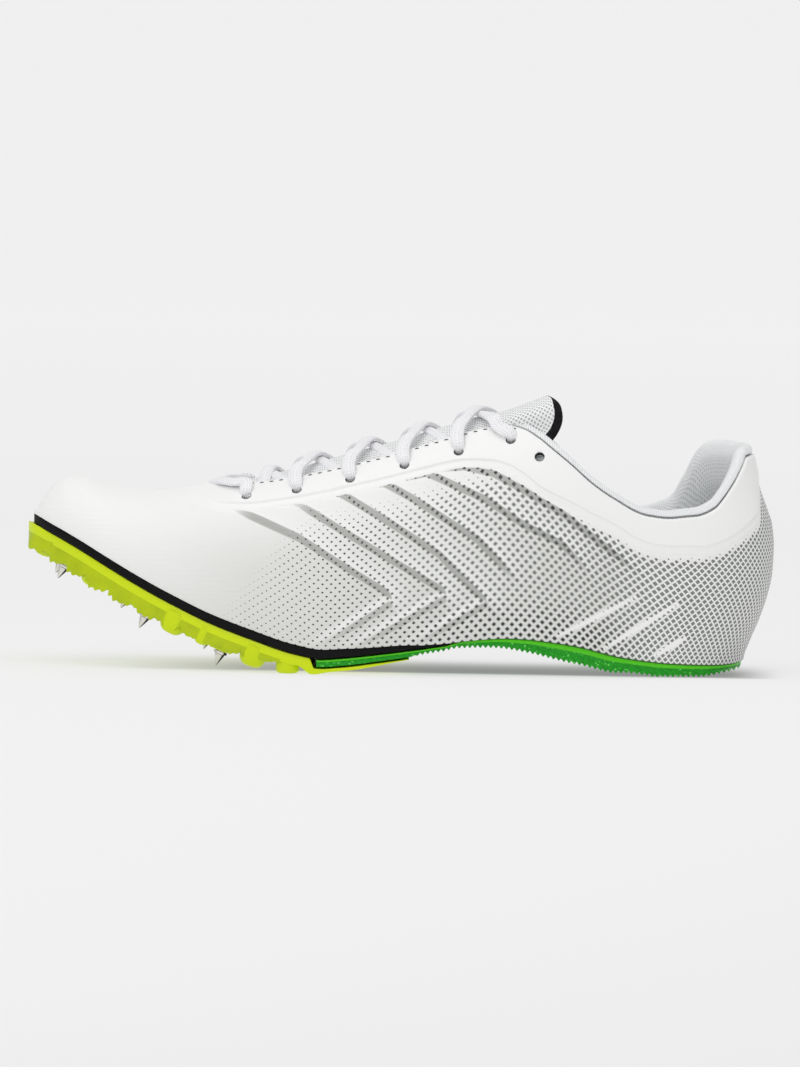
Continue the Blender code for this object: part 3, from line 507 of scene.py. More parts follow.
def loft(name: str, rings: Array, closed: bool = False, marks: dict[str, Array] | None = None) -> bpy.types.Mesh:
    """A mesh of quads through rings of points, each ring closed on itself.

    Args:
        name: Name of the mesh.
        rings: Array (count, size, 3).
        closed: Joins the last ring to the first; otherwise both ends are capped.
        marks: Values for each point, shaped (count, size) or (count, size, 3), kept as attributes.

    Returns:
        The mesh, with its faces pointing outwards.
    """
    count, size = rings.shape[:2]
    spans = count if closed else count - 1
    a = np.arange(spans)[:, None] * size
    b = ((np.arange(spans) + 1) % count)[:, None] * size
    here = np.arange(size)[None, :]
    there = (here + 1) % size
    quads = np.stack((a + here, a + there, b + there, b + here), axis=-1).reshape(-1, 4)
    points = rings.reshape(-1, 3)
    inside_out = signed_volume(points - points.mean(axis=0), quads) < 0
    if inside_out:
        quads = quads[:, ::-1]
    faces = quads.tolist()
    if not closed:
        first = list(range(size))[::-1]
        last = list(range((count - 1) * size, count * size))
        faces += [first[::-1], last[::-1]] if inside_out else [first, last]
    mesh = bpy.data.meshes.new(name)
    mesh.from_pydata(points.tolist(), [], faces)
    for mark, values in (marks or {}).items():
        vector = values.ndim == 3
        layer = mesh.attributes.new(mark, "FLOAT_VECTOR" if vector else "FLOAT", "POINT")
        layer.data.foreach_set("vector" if vector else "value", values.astype(np.float32).ravel())
    return mesh


def joined(name: str, meshes: list[bpy.types.Mesh], painted_light_shares: list[float] | None = None) -> bpy.types.Mesh:
    """One mesh out of several, which are removed.

    Places, corners and loop starts are strung together, each mesh's numbers raised by what
    came before it.

    Args:
        name: Name of the new mesh.
        meshes: The meshes.
        painted_light_shares: One value for each mesh, kept at its points as the attribute rim: its
            share of a painted highlight.

    Returns:
        The new mesh.
    """
    sizes = [len(mesh.vertices) for mesh in meshes]
    points, corners, starts = [], [], []
    point_count = corner_count = 0
    for mesh in meshes:
        place = np.empty(len(mesh.vertices) * 3, np.float32)
        corner = np.empty(len(mesh.loops), np.int32)
        begin = np.empty(len(mesh.polygons), np.int32)
        mesh.vertices.foreach_get("co", place)
        mesh.loops.foreach_get("vertex_index", corner)
        mesh.polygons.foreach_get("loop_start", begin)
        points.append(place)
        corners.append(corner + point_count)
        starts.append(begin + corner_count)
        point_count += len(mesh.vertices)
        corner_count += len(mesh.loops)
        bpy.data.meshes.remove(mesh)
    begins = np.concatenate(starts)
    whole = bpy.data.meshes.new(name)
    whole.vertices.add(point_count)
    whole.loops.add(corner_count)
    whole.polygons.add(len(begins))
    whole.vertices.foreach_set("co", np.concatenate(points))
    whole.loops.foreach_set("vertex_index", np.concatenate(corners))
    whole.polygons.foreach_set("loop_start", begins)
    whole.update(calc_edges=True)
    if painted_light_shares:
        layer = whole.attributes.new("rim", "FLOAT", "POINT")
        layer.data.foreach_set("value", np.repeat(np.array(painted_light_shares, np.float32), sizes))
    return whole


def turned(centre: Array, axis: Array, radii: Array, depths: Array, sides: int) -> Array:
    """Rings of a turned shape: a circle of each radius, at each depth along the axis from centre."""
    axis = unit(np.asarray(axis, float))
    helper = np.array((0.0, 1.0, 0.0)) if abs(axis[1]) < 0.9 else np.array((1.0, 0.0, 0.0))
    right = unit(np.cross(helper, axis))
    ahead = np.cross(axis, right)
    angle = np.arange(sides) * 2 * math.pi / sides
    circle = right * np.cos(angle)[:, None] + ahead * np.sin(angle)[:, None]
    radii, depths = np.asarray(radii, float), np.asarray(depths, float)
    return centre + axis * depths[:, None, None] + circle[None] * radii[:, None, None]


@dataclass
class Workshop:
    """Puts each finished mesh in the scene, over the nodes that it stands for."""

    finishes: dict[str, bpy.types.Material]

    def place(
        self, name: str, mesh: bpy.types.Mesh, finish: str, slot: str, nodes: tuple[str, ...] = (), crisp: float = 40
    ) -> bpy.types.Object:
        """Links a piece, shades it smooth below the crisp angle, and rides it on the shoe.

        Args:
            name: Name of the piece.
            mesh: Its mesh, in the shoe's frame.
            finish: Key of its material.
            slot: The record's material slot; not used.
            nodes: CAD nodes that it stands for.
            crisp: Angle in degrees past which an edge stays sharp.

        Returns:
            The new object.
        """
        piece = bpy.data.objects.new(name, mesh)
        bpy.context.scene.collection.objects.link(piece)
        mesh.materials.append(self.finishes[finish])
        mesh.shade_smooth()
        mesh.set_sharp_from_angle(angle=math.radians(crisp))
        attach(piece, BODY)
        if nodes:
            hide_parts(*nodes)
        LOG.info("%s: %d faces", name, len(mesh.polygons))
        return piece


@dataclass
class Upper:
    """The upper: one wall of film-backed mesh with a raised smooth panel round the opening."""

    last: Last
    columns: int = 600
    rim: float = 3.1 * MM
    rim_lift: float = 0.45 * MM
    pleat_height: float = 1.3 * MM
    pleat_width: float = 2.4 * MM
    panel_front: tuple[float, float] = (-0.078, -0.060)
    eyelet_radius: float = 1.9 * MM
    eyelets: tuple[tuple[float, float], ...] = (
        (0.301, 10.2 * MM),
        (0.371, 9.1 * MM),
        (0.445, 8.8 * MM),
        (0.520, 8.4 * MM),
        (0.595, 9.2 * MM),
        (0.667, 7.1 * MM),
        (0.707, 7.8 * MM),
    )

    def eyelet_inset(self, station: float) -> float:
        """Distance of the row of eyelets under the opening's edge."""
        return float(np.interp(station, *np.array(self.eyelets).T))

    def column_paths(self) -> tuple[Array, Array, Array]:
        """Lines up the wall round the whole shoe, evenly spaced along each side's outline.

        Each line leans back towards the throat by the square of its nearness to the toe.

        Returns:
            Paths (columns, samples, 4), the panel's width on each, and each line's side.
        """
        turn = np.arange(self.columns) / self.columns
        half = 1 - np.abs(1 - 2 * turn)
        side = np.where(turn <= 0.5, float(Side.OUTER), float(Side.INNER))
        ladder = spaced(0.0, 1.0, 400)
        feet = np.empty(self.columns)
        for sign in Side:
            line = np.stack((self.last.place_x(ladder), self.last.side_y(ladder, sign)), axis=-1)
            run = np.concatenate(([0], np.cumsum(np.linalg.norm(np.diff(line, axis=0), axis=1))))
            here = side == sign
            feet[here] = np.interp(half[here] * run[-1], run, ladder)
        tops = feet + self.last.throat * np.clip(1 - feet / self.last.fan, 0, 1) ** 2
        panel = self.last.panel_width * EDGE.read("panel", np.maximum(tops, self.last.throat))
        return self.last.wall_paths(feet, tops, side), panel, side

    def row_distances(self, total: Array, panel: Array) -> Array:
        """Distances of the rows from the opening's edge, with rows close together at each step."""
        rim = panel + self.rim
        lip = np.linspace(0, 1, 7)[:-1] ** 2 * 1.6 * MM
        bands = (
            np.repeat(lip[None, :], len(total), axis=0),
            1.6 * MM + (panel[:, None] - 2.2 * MM) * np.linspace(0, 1, 14)[None, :],
            panel[:, None] + np.array((-0.3, 0.0, 0.3))[None, :] * MM,
            panel[:, None] + 0.6 * MM + (self.rim - 1.2 * MM) * np.linspace(0, 1, 3)[None, :],
            rim[:, None] + np.array((-0.3, 0.0, 0.3, 0.6))[None, :] * MM,
            rim[:, None] + 0.6 * MM + (total - rim - 0.6 * MM)[:, None] * np.linspace(0, 1, 93)[None, 1:],
        )
        return np.concatenate(bands, axis=1)

    def normals(self, grid: Array) -> Array:
        """Outward unit normals of a grid that closes on itself round the shoe."""
        round_way = np.roll(grid, -1, axis=0) - np.roll(grid, 1, axis=0)
        up_way = np.gradient(grid, axis=1)
        return unit(np.cross(round_way, up_way))

    def build(self, shop: Workshop) -> bpy.types.Object:
        """Makes the wall as one closed loft and punches the eyelets."""
        paths, panel, side = self.column_paths()
        total = path_lengths(paths)
        distance = self.row_distances(total, panel)[:, ::-1]
        sampled = resample(paths, total[:, None] - distance)
        grid, station = sampled[..., :3], sampled[..., 3]
        normal = self.normals(grid)
        lift = self.last.overlay * (1 - ease(distance - panel[:, None], -0.35 * MM, 0.35 * MM))
        lift = lift + self.rim_lift * (1 - ease(distance - panel[:, None] - self.rim, -0.35 * MM, 0.35 * MM))
        lift = lift * (0.15 + 0.85 * ease(grid[..., 0], *self.panel_front))
        below_rim = ease(distance - panel[:, None] - self.rim, -0.5 * MM, 2.5 * MM)
        relief = Relief(self).height(grid, station) * below_rim
        shoulder = (self.last.wall + self.last.overlay) / 2
        drop = shoulder - np.sqrt(np.maximum(shoulder**2 - np.maximum(shoulder - distance, 0) ** 2, 0))
        outer = grid + normal * (lift + relief - drop)[..., None]
        rows = np.linspace(0, distance.shape[1] - 1, 16).round().astype(int)
        tail = np.arange(distance.shape[1] - 5, distance.shape[1])
        rows = np.unique(np.concatenate((rows, tail)))[::-1]
        inner = (grid - normal * (self.last.wall - drop)[..., None])[:, rows]
        rings = np.concatenate((outer, inner), axis=1)
        marks = Relief(self).marks(grid, station, side, distance, panel, relief)
        padded = {}
        for key, values in marks.items():
            hidden = values[:, rows] * (0 if key in ("dot", "tone", "painted_low_shade") else 1)
            padded[key] = np.concatenate((values, hidden), axis=1)
        mesh = loft("upper_shell", rings, closed=True, marks=padded)
        piece = shop.place("upper_shell", mesh, "upper", "upper", ("upper",))
        self.punch(piece)
        return piece

    def punch(self, piece: bpy.types.Object) -> None:
        """Cuts the eyelets through the wall, square to it, and marks their cut faces for a painted shade."""
        station, inset = np.repeat(np.array(self.eyelets), 2, axis=0).T
        side = np.tile((-1.0, 1.0), len(self.eyelets))
        point, normal, _ = self.last.frames(station, side, inset)
        reach = 4 * (self.last.wall + self.last.overlay)
        tools = [
            loft("punch", turned(p - n * reach / 2, n, (self.eyelet_radius,) * 2, (0, reach), 24))
            for p, n in zip(point, normal)
        ]
        cutter = bpy.data.objects.new("punch", joined("punch", tools))
        bpy.context.scene.collection.objects.link(cutter)
        modifier = piece.modifiers.new("eyelets", "BOOLEAN")
        modifier.operation = "DIFFERENCE"
        modifier.solver = "MANIFOLD"
        modifier.object = cutter
        cut = bpy.data.meshes.new_from_object(piece.evaluated_get(bpy.context.evaluated_depsgraph_get()))
        piece.modifiers.clear()
        piece.data = cut
        bpy.data.objects.remove(cutter)
        centre = np.empty(len(cut.polygons) * 3)
        cut.polygons.foreach_get("center", centre)
        centre = centre.reshape(-1, 3)
        within = np.zeros(len(centre))
        for p, n in zip(point, normal):
            off = centre - p
            depth = off @ n
            away = np.linalg.norm(off - depth[:, None] * n, axis=1)
            within[(away < self.eyelet_radius) & (np.abs(depth) < reach / 2)] = 1
        # The marked faces take a painted shade, the dark inside each hole
        cut.attributes.new("hole", "FLOAT", "FACE").data.foreach_set("value", within.astype(np.float32))


@dataclass(frozen=True)
class Pleat:
    """One chevron pleat in side view, as (x, z) in metres from its upper end to its lower end."""

    points: tuple[tuple[float, float], ...]
    apex: int


PLEATS = (
    Pleat(((-0.0683, 0.0634), (-0.0390, 0.0514), (-0.0054, 0.0318), (-0.0043, 0.0295), (-0.0355, 0.0101)), 3),
    Pleat(((-0.0467, 0.0652), (-0.0390, 0.0634), (0.0154, 0.0332), (0.0162, 0.0316), (-0.0236, 0.0091)), 3),
    Pleat(
        ((-0.0390, 0.0661), (-0.0247, 0.0686), (-0.0066, 0.0588), (0.0143, 0.0463), (0.0316, 0.0295), (-0.0008, 0.0106)),
        4,
    ),
    Pleat(((-0.0224, 0.0694), (-0.0077, 0.0726), (0.0050, 0.0662), (0.0290, 0.0520), (0.0480, 0.0330)), 5),
    Pleat(
        ((-0.0050, 0.0727), (0.0092, 0.0763), (0.0320, 0.0670), (0.0459, 0.0583), (0.0614, 0.0508), (0.0752, 0.0370)),
        6,
    ),
    Pleat(
        ((0.0119, 0.0767), (0.0235, 0.0788), (0.0347, 0.0767), (0.0459, 0.0710), (0.0614, 0.0623), (0.0949, 0.0373)),
        6,
    ),
)


@dataclass
class Relief:
    """The pleats moulded into the wall, and the printed lattice that fades with them."""

    upper: Upper
    pitches: tuple[tuple[float, float, float], ...] = (
        (0.00, 3.24, 3.05),
        (0.45, 3.30, 3.10),
        (0.65, 3.50, 3.80),
        (0.80, 3.00, 3.50),
        (0.90, 2.30, 2.90),
        (1.00, 2.10, 2.70),
    )
    strips: tuple[tuple[float, float, float, float], ...] = (
        (0.0602, 0.0156, 0.0903, 0.0310),
        (0.0783, 0.0112, 0.1061, 0.0285),
        (0.0980, 0.0088, 0.1092, 0.0155),
    )
    strip_width: float = 1.3 * MM

    def offsets(self, x: Array, z: Array, pleat: Pleat) -> tuple[Array, Array, Array]:
        """Signed distance from a pleat, the share of the way along it, and its nearest part.

        The sign is positive on the side that the chevron points to.
        """
        points = np.array(pleat.points)
        starts, spans = points[:-1], np.diff(points, axis=0)
        lengths = np.linalg.norm(spans, axis=1)
        before = np.concatenate(([0], np.cumsum(lengths)))[:-1]
        flat = np.stack((x.ravel(), z.ravel()), axis=-1)
        offset = flat[:, None, :] - starts[None]
        share = np.clip((offset * spans).sum(-1) / lengths**2, 0, 1)
        away = offset - spans * share[..., None]
        gap = np.linalg.norm(away, axis=-1)
        best = gap.argmin(axis=1)
        rows = np.arange(len(flat))
        cross = spans[best, 0] * offset[rows, best, 1] - spans[best, 1] * offset[rows, best, 0]
        signed = gap[rows, best] * np.where(cross >= 0, 1.0, -1.0)
        along = (before[best] + share[rows, best] * lengths[best]) / lengths.sum()
        return signed.reshape(x.shape), along.reshape(x.shape), (best >= pleat.apex).reshape(x.shape)

    def height(self, grid: Array, station: Array) -> Array:
        """Height of the pleats: a quick rise across each line, then a slow fall behind it."""
        x, z = grid[..., 0], grid[..., 2]
        total = np.zeros(x.shape)
        width = self.upper.pleat_width
        for pleat in PLEATS:
            signed, along, lower = self.offsets(x, z, pleat)
            ends = ease(along, 0.0, 0.18) * (1 - ease(along, 0.82, 1.0))
            fall = np.where(lower, 5.0, 11.0) * MM
            rise = ease(signed, -width / 2, width / 2)
            total += ends * rise * np.exp(-np.maximum(signed - width / 2, 0) / fall)
        return total * self.upper.pleat_height * ease(station, 0.05, 0.2) * (1 - ease(station, 0.9, 0.98))

    def marks(self, grid: Array, station: Array, side: Array, distance: Array, panel: Array, relief: Array) -> dict:
        """Values for the upper's material at each point.

        Returns:
            The print's cell coordinates, the dots' size and darkness, the pleats' painted shade, the
            painted shade that greys the wall towards the bottom, and the smooth panel's share.
        """
        x, z = grid[..., 0], grid[..., 2]
        last = self.upper.last
        ladder = np.linspace(0, 1, 400)
        line = np.stack((last.place_x(ladder), last.side_y(ladder, Side.OUTER)), axis=-1)
        run = np.concatenate(([0], np.cumsum(np.linalg.norm(np.diff(line, axis=0), axis=1))))
        known, column_pitch, row_pitch = np.array(self.pitches).T
        steps = np.diff(run) / (np.interp(ladder[1:], known, column_pitch) * MM)
        count = np.interp(station, ladder, np.concatenate(([0], np.cumsum(steps))))
        count = np.where(side[:, None] < 0, count, -count)
        rows = (z - last.feather(station)) / (np.interp(station, known, row_pitch) * MM)
        cells = np.stack((count, rows, 0 * x), axis=-1)
        away = distance - panel[:, None] - self.upper.rim
        border = -0.0514 - (0.052 - z) * 0.76
        fade = ease(x - border, 0, 16 * MM)
        clear = (4 + 15 * (1 - ease(station, 0.5, 0.72))) * MM
        near = ease(away / clear, 0.1, 1)
        grow = np.array(((-0.08, 0.09), (-0.05, 0.12), (-0.01, 0.20), (0.02, 0.25), (0.06, 0.30), (0.11, 0.37)))
        size = np.interp(x, grow[:, 0], grow[:, 1])
        # Painted shade in a band along each pleat (shade, tone), and a painted highlight on the flank behind it (lit)
        shade = np.full(x.shape, -3.0)
        tone = np.zeros(x.shape)
        lit = np.zeros(x.shape)
        for pleat in PLEATS:
            signed, along, lower = self.offsets(x, z, pleat)
            ends = ease(along, 0.0, 0.12) * (1 - ease(along, 0.8, 1.0))
            centre = np.where(lower, 2.2 * MM, 0)
            half = self.upper.pleat_width * (0.12 + 0.42 * ends)
            inside = (half - np.abs(signed - centre)) / MM
            shade = np.maximum(shade, np.where(away > 0, inside, -3.0))
            faint = np.where(lower, 0.6, 0.85) * ends
            tone = np.where(inside > -0.8, np.maximum(tone, faint), tone)
            upper_lit = np.exp(-np.maximum(signed - half, 0) / (6 * MM)) * (signed > 0)
            lower_lit = ease(signed, -3 * MM, -0.8 * MM) * (1 - ease(signed, 0.4 * MM, 1.0 * MM))
            lit = np.maximum(lit, np.where(lower, 0.9 * lower_lit, upper_lit) * np.sqrt(ends))
        bare = np.zeros(x.shape)
        for strip in self.strips:
            line = Pleat((strip[:2], strip[2:]), 1)
            signed, along, _ = self.offsets(x, z, line)
            thin = self.strip_width * (0.35 + 0.65 * np.sin(math.pi * np.clip(along, 0.06, 0.94)))
            bare = np.maximum(bare, 1 - ease(np.abs(signed), thin * 0.6, thin))
        low = 1 - ease(z - last.feather(station), 4 * MM, 20 * MM)
        middle = ease(x, -0.03, 0.01) * (1 - ease(x, 0.07, 0.1))
        front = 1 - ease(x, -0.03, 0.015)
        band = ease(shade, -0.6, 0.4) * tone
        seam = ease(station, 0.52, 0.66) * (1 - ease(away, 1.0 * MM, 4.5 * MM))
        dark = np.clip(np.maximum(front, 0.2 + 0.75 * low * middle + 0.6 * band + 0.6 * seam), 0, 1)
        # Painted shade: the wall greys towards the bottom, less at the toe and heel, thinned by the painted highlight
        # behind each pleat, and left off the bare strips and the panel
        rise = (z - last.feather(station)) / (last.crest(station) - last.feather(station))
        painted_low_shade = (1 - ease(rise, 0.3, 1.0)) * ease(x, -0.13, -0.03) * (1 - 0.7 * ease(x, 0.06, 0.11))
        painted_low_shade = np.clip(painted_low_shade * 1.25, 0, 1) * (1 - 0.75 * lit) * (1 - bare)
        return {
            "cells": cells,
            "dot": size * fade * np.maximum(near, band * 1.15) * (away > 0) * (1 - bare),
            "dark": dark,
            "shade": shade,
            "tone": tone,
            "painted_low_shade": painted_low_shade * ease(away, 0, 3 * MM),
            "panel": 1 - ease(away, -0.3 * MM, 0.3 * MM),
        }


def slab_rings(last: Last, stations: Array, top: Array, under: Array, inset: float, side_in: Array, share: Array) -> Array:
    """Rings of a sole layer: a side profile on both edges, flat across between them.

    Args:
        last: The last.
        stations: Stations of the rings.
        top: Heights of the layer's top.
        under: Heights of its underside.
        inset: Distance of the layer's edge inside the outline.
        side_in: Distances inwards of the side profile's points, from top to bottom.
        share: Their heights as shares of the layer.

    Returns:
        Array (stations, 2 profile, 3).
    """
    x = last.place_x(stations)[:, None] + 0 * side_in[None, :]
    z = under[:, None] + (top - under)[:, None] * share[None, :]
    edges = []
    for side in Side:
        y = last.inset_y(stations, side, inset)
        middle = (last.side_y(stations, Side.OUTER) + last.side_y(stations, Side.INNER)) / 2
        room = np.maximum(np.abs(y - middle) - GAP, 0)
        drawn = np.minimum(side_in[None, :], room[:, None])
        edges.append(np.stack((x, y[:, None] - side * drawn, z), axis=-1))
    return np.concatenate((edges[0], edges[1][:, ::-1]), axis=1)


def rounded_side(depth: float, points: int) -> tuple[Array, Array]:
    """A side profile with rounded edges: half a superellipse, depth deep, from top to bottom."""
    angle = np.linspace(0, math.pi, points)
    inward = depth * (1 - np.sin(angle) ** 0.6)
    return inward, (1 + np.cos(angle)) / 2


@dataclass
class Sole:
    """Foam line, spike plate with its lugs and pins, rubber heel and insole."""

    last: Last
    inset: float = 0.8 * MM
    lug_radius: float = 5.2 * MM
    lug_height: float = 6.2 * MM
    boss_radius: float = 5.2 * MM
    boss_height: float = 4.7 * MM
    pin_length: float = 6.2 * MM
    pin_radius: float = 2.6 * MM
    tooth_pitch: float = 2.0 * MM
    tooth_depth: float = 1.3 * MM
    rail_pitch: float = 2.3 * MM
    rail_base: float = 2.4 * MM
    rail_lobe: float = 2.4 * MM
    rail_tooth: float = 1.9 * MM
    lobe_pitch: float = 8.4 * MM
    skirt: tuple[tuple[float, float], ...] = ((0.0, 0.95), (0.05, 1.1), (0.12, 1.12), (0.2, 0.9), (0.3, 0.66), (0.36, 0.5))
    insole: float = 3.3 * MM
    lugs: tuple[tuple[float, float, float, float], ...] = (
        (0.021, -0.38, 0.64, 0.95),
        (0.021, 0.42, 0.64, 0.95),
        (0.052, 0.15, 0.60, 0.85),
        (0.093, -0.72, 1.00, 1.05),
        (0.093, 0.80, 1.00, 1.05),
        (0.100, 0.10, 0.70, 0.85),
        (0.131, -0.80, 0.66, 0.85),
        (0.150, 0.05, 0.70, 0.80),
        (0.206, -0.86, 1.05, 1.05),
        (0.206, 0.86, 1.05, 1.05),
        (0.205, 0.02, 0.80, 0.80),
        (0.246, -0.91, 0.60, 0.80),
        (0.258, 0.05, 0.80, 0.80),
        (0.316, -0.87, 1.05, 0.95),
        (0.316, 0.88, 1.05, 0.95),
        (0.312, 0.00, 0.80, 0.80),
    )
    rest_station: float = 0.362
    rest_places: tuple[float, ...] = (-0.87, 0.0, 0.87)
    pins: tuple[tuple[float, float], ...] = (
        (0.054, -0.36),
        (0.047, 0.66),
        (0.171, -0.62),
        (0.140, 0.70),
        (0.2745, -0.66),
        (0.2535, 0.72),
    )

    def build(self, shop: Workshop) -> None:
        """Makes every piece of the sole."""
        self.build_foam(shop)
        self.build_plate(shop)
        self.build_pins(shop)
        self.build_rubber(shop)
        self.build_insole(shop)

    def build_foam(self, shop: Workshop) -> None:
        """The thin dark foam line under the upper."""
        last = self.last
        stations = spaced(0.0008, last.foam_end, 220)
        inward, share = rounded_side(0.5 * MM, 9)
        top = last.feather(stations) - GAP
        rings = slab_rings(last, stations, top, last.foam_under(stations), 0.0, inward, share)
        shop.place("midsole_foam", loft("midsole_foam", rings), "foam", "foam", ("midsole",))

    def under_frame(self, station: float, across: float) -> tuple[Array, Array]:
        """A point of the plate's underside and the direction square to it, towards the track."""
        last = self.last
        outer, inner = (float(last.side_y(station, side)) for side in Side)
        y = (outer + inner) / 2 + across * (inner - outer) / 2
        step = 0.004
        rise = float(last.plate_under(station + step) - last.plate_under(station - step))
        run = float(last.place_x(station + step) - last.place_x(station - step))
        down = unit(np.array((rise, 0.0, -run)))
        return np.array((float(last.place_x(station)), y, float(last.plate_under(station)))), down

    def dome(self, centre: Array, down: Array, radius: float, height: float) -> bpy.types.Mesh:
        """A lug: radius times cos(a)^0.55 at the depth height times sin(a), a from 0 to 90 degrees."""
        angle = np.linspace(0, math.pi / 2, 10)[:-1]
        sunk = self.last.plate / 2
        radii = np.concatenate(([radius], radius * np.cos(angle) ** 0.55, [radius * 0.08]))
        depths = np.concatenate(([-sunk], height * np.sin(angle), [height]))
        rings = turned(centre, down, radii, depths, 28)
        return loft("lug", self.trimmed(rings))

    def trimmed(self, rings: Array) -> Array:
        """The rings with every point held inside the plate's outline, so lugs end flush with it."""
        last = self.last
        front, back = float(last.place_x(0.0)), float(last.place_x(1.0))
        station = np.clip((rings[..., 0] - front) / (back - front), 0.004, 0.9)
        rings = rings.copy()
        low = last.inset_y(station, Side.OUTER, self.inset * 0.4)
        high = last.inset_y(station, Side.INNER, self.inset * 0.4)
        rings[..., 1] = np.clip(rings[..., 1], low, high)
        return rings

    def lip_shift(self, stations: Array) -> Array:
        """How far the plate runs on at the toe, along the foam's underside, as (n, 3)."""
        last = self.last
        ahead = (float(last.place_x(stations[0])) + last.length / 2) * (1 - ease(stations, 0.0, 0.03))
        slope = np.gradient(last.foam_under(stations), last.place_x(stations))
        return np.stack((-ahead, 0 * ahead, -ahead * slope), axis=-1)

    def build_plate(self, shop: Workshop) -> None:
        """The bright plate with toothed rails, half-round lugs, small teeth and pin bosses."""
        last = self.last
        stations = spaced(0.0025, last.plate_end, 420)
        inward, share = rounded_side(0.5 * MM, 9)
        top, under = last.plate_top(stations), last.plate_under(stations)
        rings = slab_rings(last, stations, top, under, self.inset, inward, share)
        rings += self.lip_shift(stations)[:, None]
        parts = [loft("plate", rings), *self.rails()]
        # Painted light: the slab takes the full painted highlight colour; the rails take little and stay darker as
        # painted shade
        painted_light_shares = [1.0, *[0.25] * (len(parts) - 1)]
        for station, across, size, height in self.lugs:
            centre, down = self.under_frame(station, across)
            parts.append(self.dome(centre, down, self.lug_radius * size, self.lug_height * height))
        for across in self.rest_places:
            centre, _ = self.under_frame(self.rest_station, across)
            down = np.array((0.0, 0.0, -1.0))
            radii = self.lug_radius * np.array((0.86, 0.86, 0.84, 0.74, 0.6))
            depths = np.array((-1.5 * MM, centre[2] * 0.3, centre[2] * 0.75, centre[2] - 0.3 * MM, centre[2]))
            parts.append(loft("lug", self.trimmed(turned(centre, down, radii, depths, 24))))
        for station, across in self.pins:
            centre, down = self.under_frame(station, across)
            radii = self.boss_radius * np.array((1.0, 1.0, 0.9, 0.82, 0.74))
            depths = self.boss_height * np.array((-0.35, 0.2, 0.7, 0.94, 1.0))
            parts.append(loft("boss", turned(centre, down, radii, depths, 32)))
        # The lugs and bosses take most of the painted highlight
        painted_light_shares += [0.85] * (len(parts) - len(painted_light_shares))
        parts += self.small_teeth()
        # The small teeth take almost none and stay darker as painted shade
        painted_light_shares += [0.1] * (len(parts) - len(painted_light_shares))
        whole = joined("spike_plate_moulding", parts, painted_light_shares)
        shop.place("spike_plate_moulding", whole, "plate", "plate", ("spike_plate",), crisp=32)

    def rails(self) -> list[bpy.types.Mesh]:
        """A jagged skirt along each edge of the plate, between the lugs, and one round the toe.

        Its depth is the skirt's share of depth at the station times the sum of three parts: a
        base, lobes that follow the root of a sine, and teeth that follow a triangle wave whose
        height wanders with two slower sines.
        """
        last = self.last
        stations = np.arange(0.0026, 0.352, 0.0011)
        place = last.place_x(stations)
        run = place / self.rail_pitch
        teeth = (1 - np.abs(2 * (run - np.floor(run)) - 1)) * (0.6 + 0.25 * np.sin(run * 1.7) + 0.15 * np.sin(run * 0.6))
        lobes = np.abs(np.sin(math.pi * (place + 1.5 * np.sin(place * 90) * MM) / self.lobe_pitch)) ** 0.6
        ends = 1 - ease(stations, 0.32, 0.352)
        share = np.interp(stations, *np.array(self.skirt).T) * (0.15 + 0.85 * ends)
        depth = share * (self.rail_base + self.rail_lobe * lobes + self.rail_tooth * teeth)
        slope = np.gradient(last.plate_under(stations), place)
        down_x, down_z = slope / np.hypot(1, slope), -1 / np.hypot(1, slope)
        shift = self.lip_shift(stations)
        front_end = -last.length / 2 + 0.1 * MM
        profile = ((0.0, -0.2), (0.05, 0.35), (0.35, 0.85), (0.7, 1.0), (1.7, 0.95), (2.8, 0.5), (3.2, -0.2))
        made = []
        for side in Side:
            columns = []
            for inward, share in profile:
                edge = last.inset_y(stations, side, self.inset + inward * MM)
                middle = (last.side_y(stations, Side.OUTER) + last.side_y(stations, Side.INNER)) / 2
                y = middle + side * np.maximum(side * (edge - middle), GAP)
                deep = np.where(share < 0, -last.plate * 0.4, depth * share)
                at = np.stack((place + down_x * deep, y, last.plate_under(stations) + down_z * deep), axis=-1)
                at += shift
                at[:, 0] = np.maximum(at[:, 0], front_end)
                columns.append(at)
            made.append(loft("rail", np.stack(columns, axis=1)))
        front = stations < 0.03
        inward, share = rounded_side(0.8 * MM, 9)
        top = last.plate_under(stations[front]) + last.plate * 0.4
        under = last.plate_under(stations[front]) - depth[front] * 0.95 * (1 - ease(stations[front], 0.018, 0.03))
        block = slab_rings(last, stations[front], top, under, self.inset, inward, share)
        block += shift[front][:, None]
        made.append(loft("toe_block", block))
        return made

    def small_teeth(self) -> list[bpy.types.Mesh]:
        """Uneven small teeth in staggered rows under the ball and toes."""
        random = np.random.default_rng(7)
        teeth = []
        for row, station in enumerate(np.arange(0.03, 0.345, 0.0135)):
            for across in np.linspace(-0.78, 0.78, 8) + (0.05 if row % 2 else -0.05):
                centre, down = self.under_frame(float(station), float(across))
                width = random.uniform(1.1, 1.8) * MM
                height = random.uniform(1.8, 3.6) * MM
                radii = np.array((width, width, width * 0.6, width * 0.15))
                depths = np.array((-1.2 * MM, 0.2 * MM, height * 0.6, height))
                teeth.append(loft("tooth", turned(centre, down, radii, depths, 6)))
        return teeth

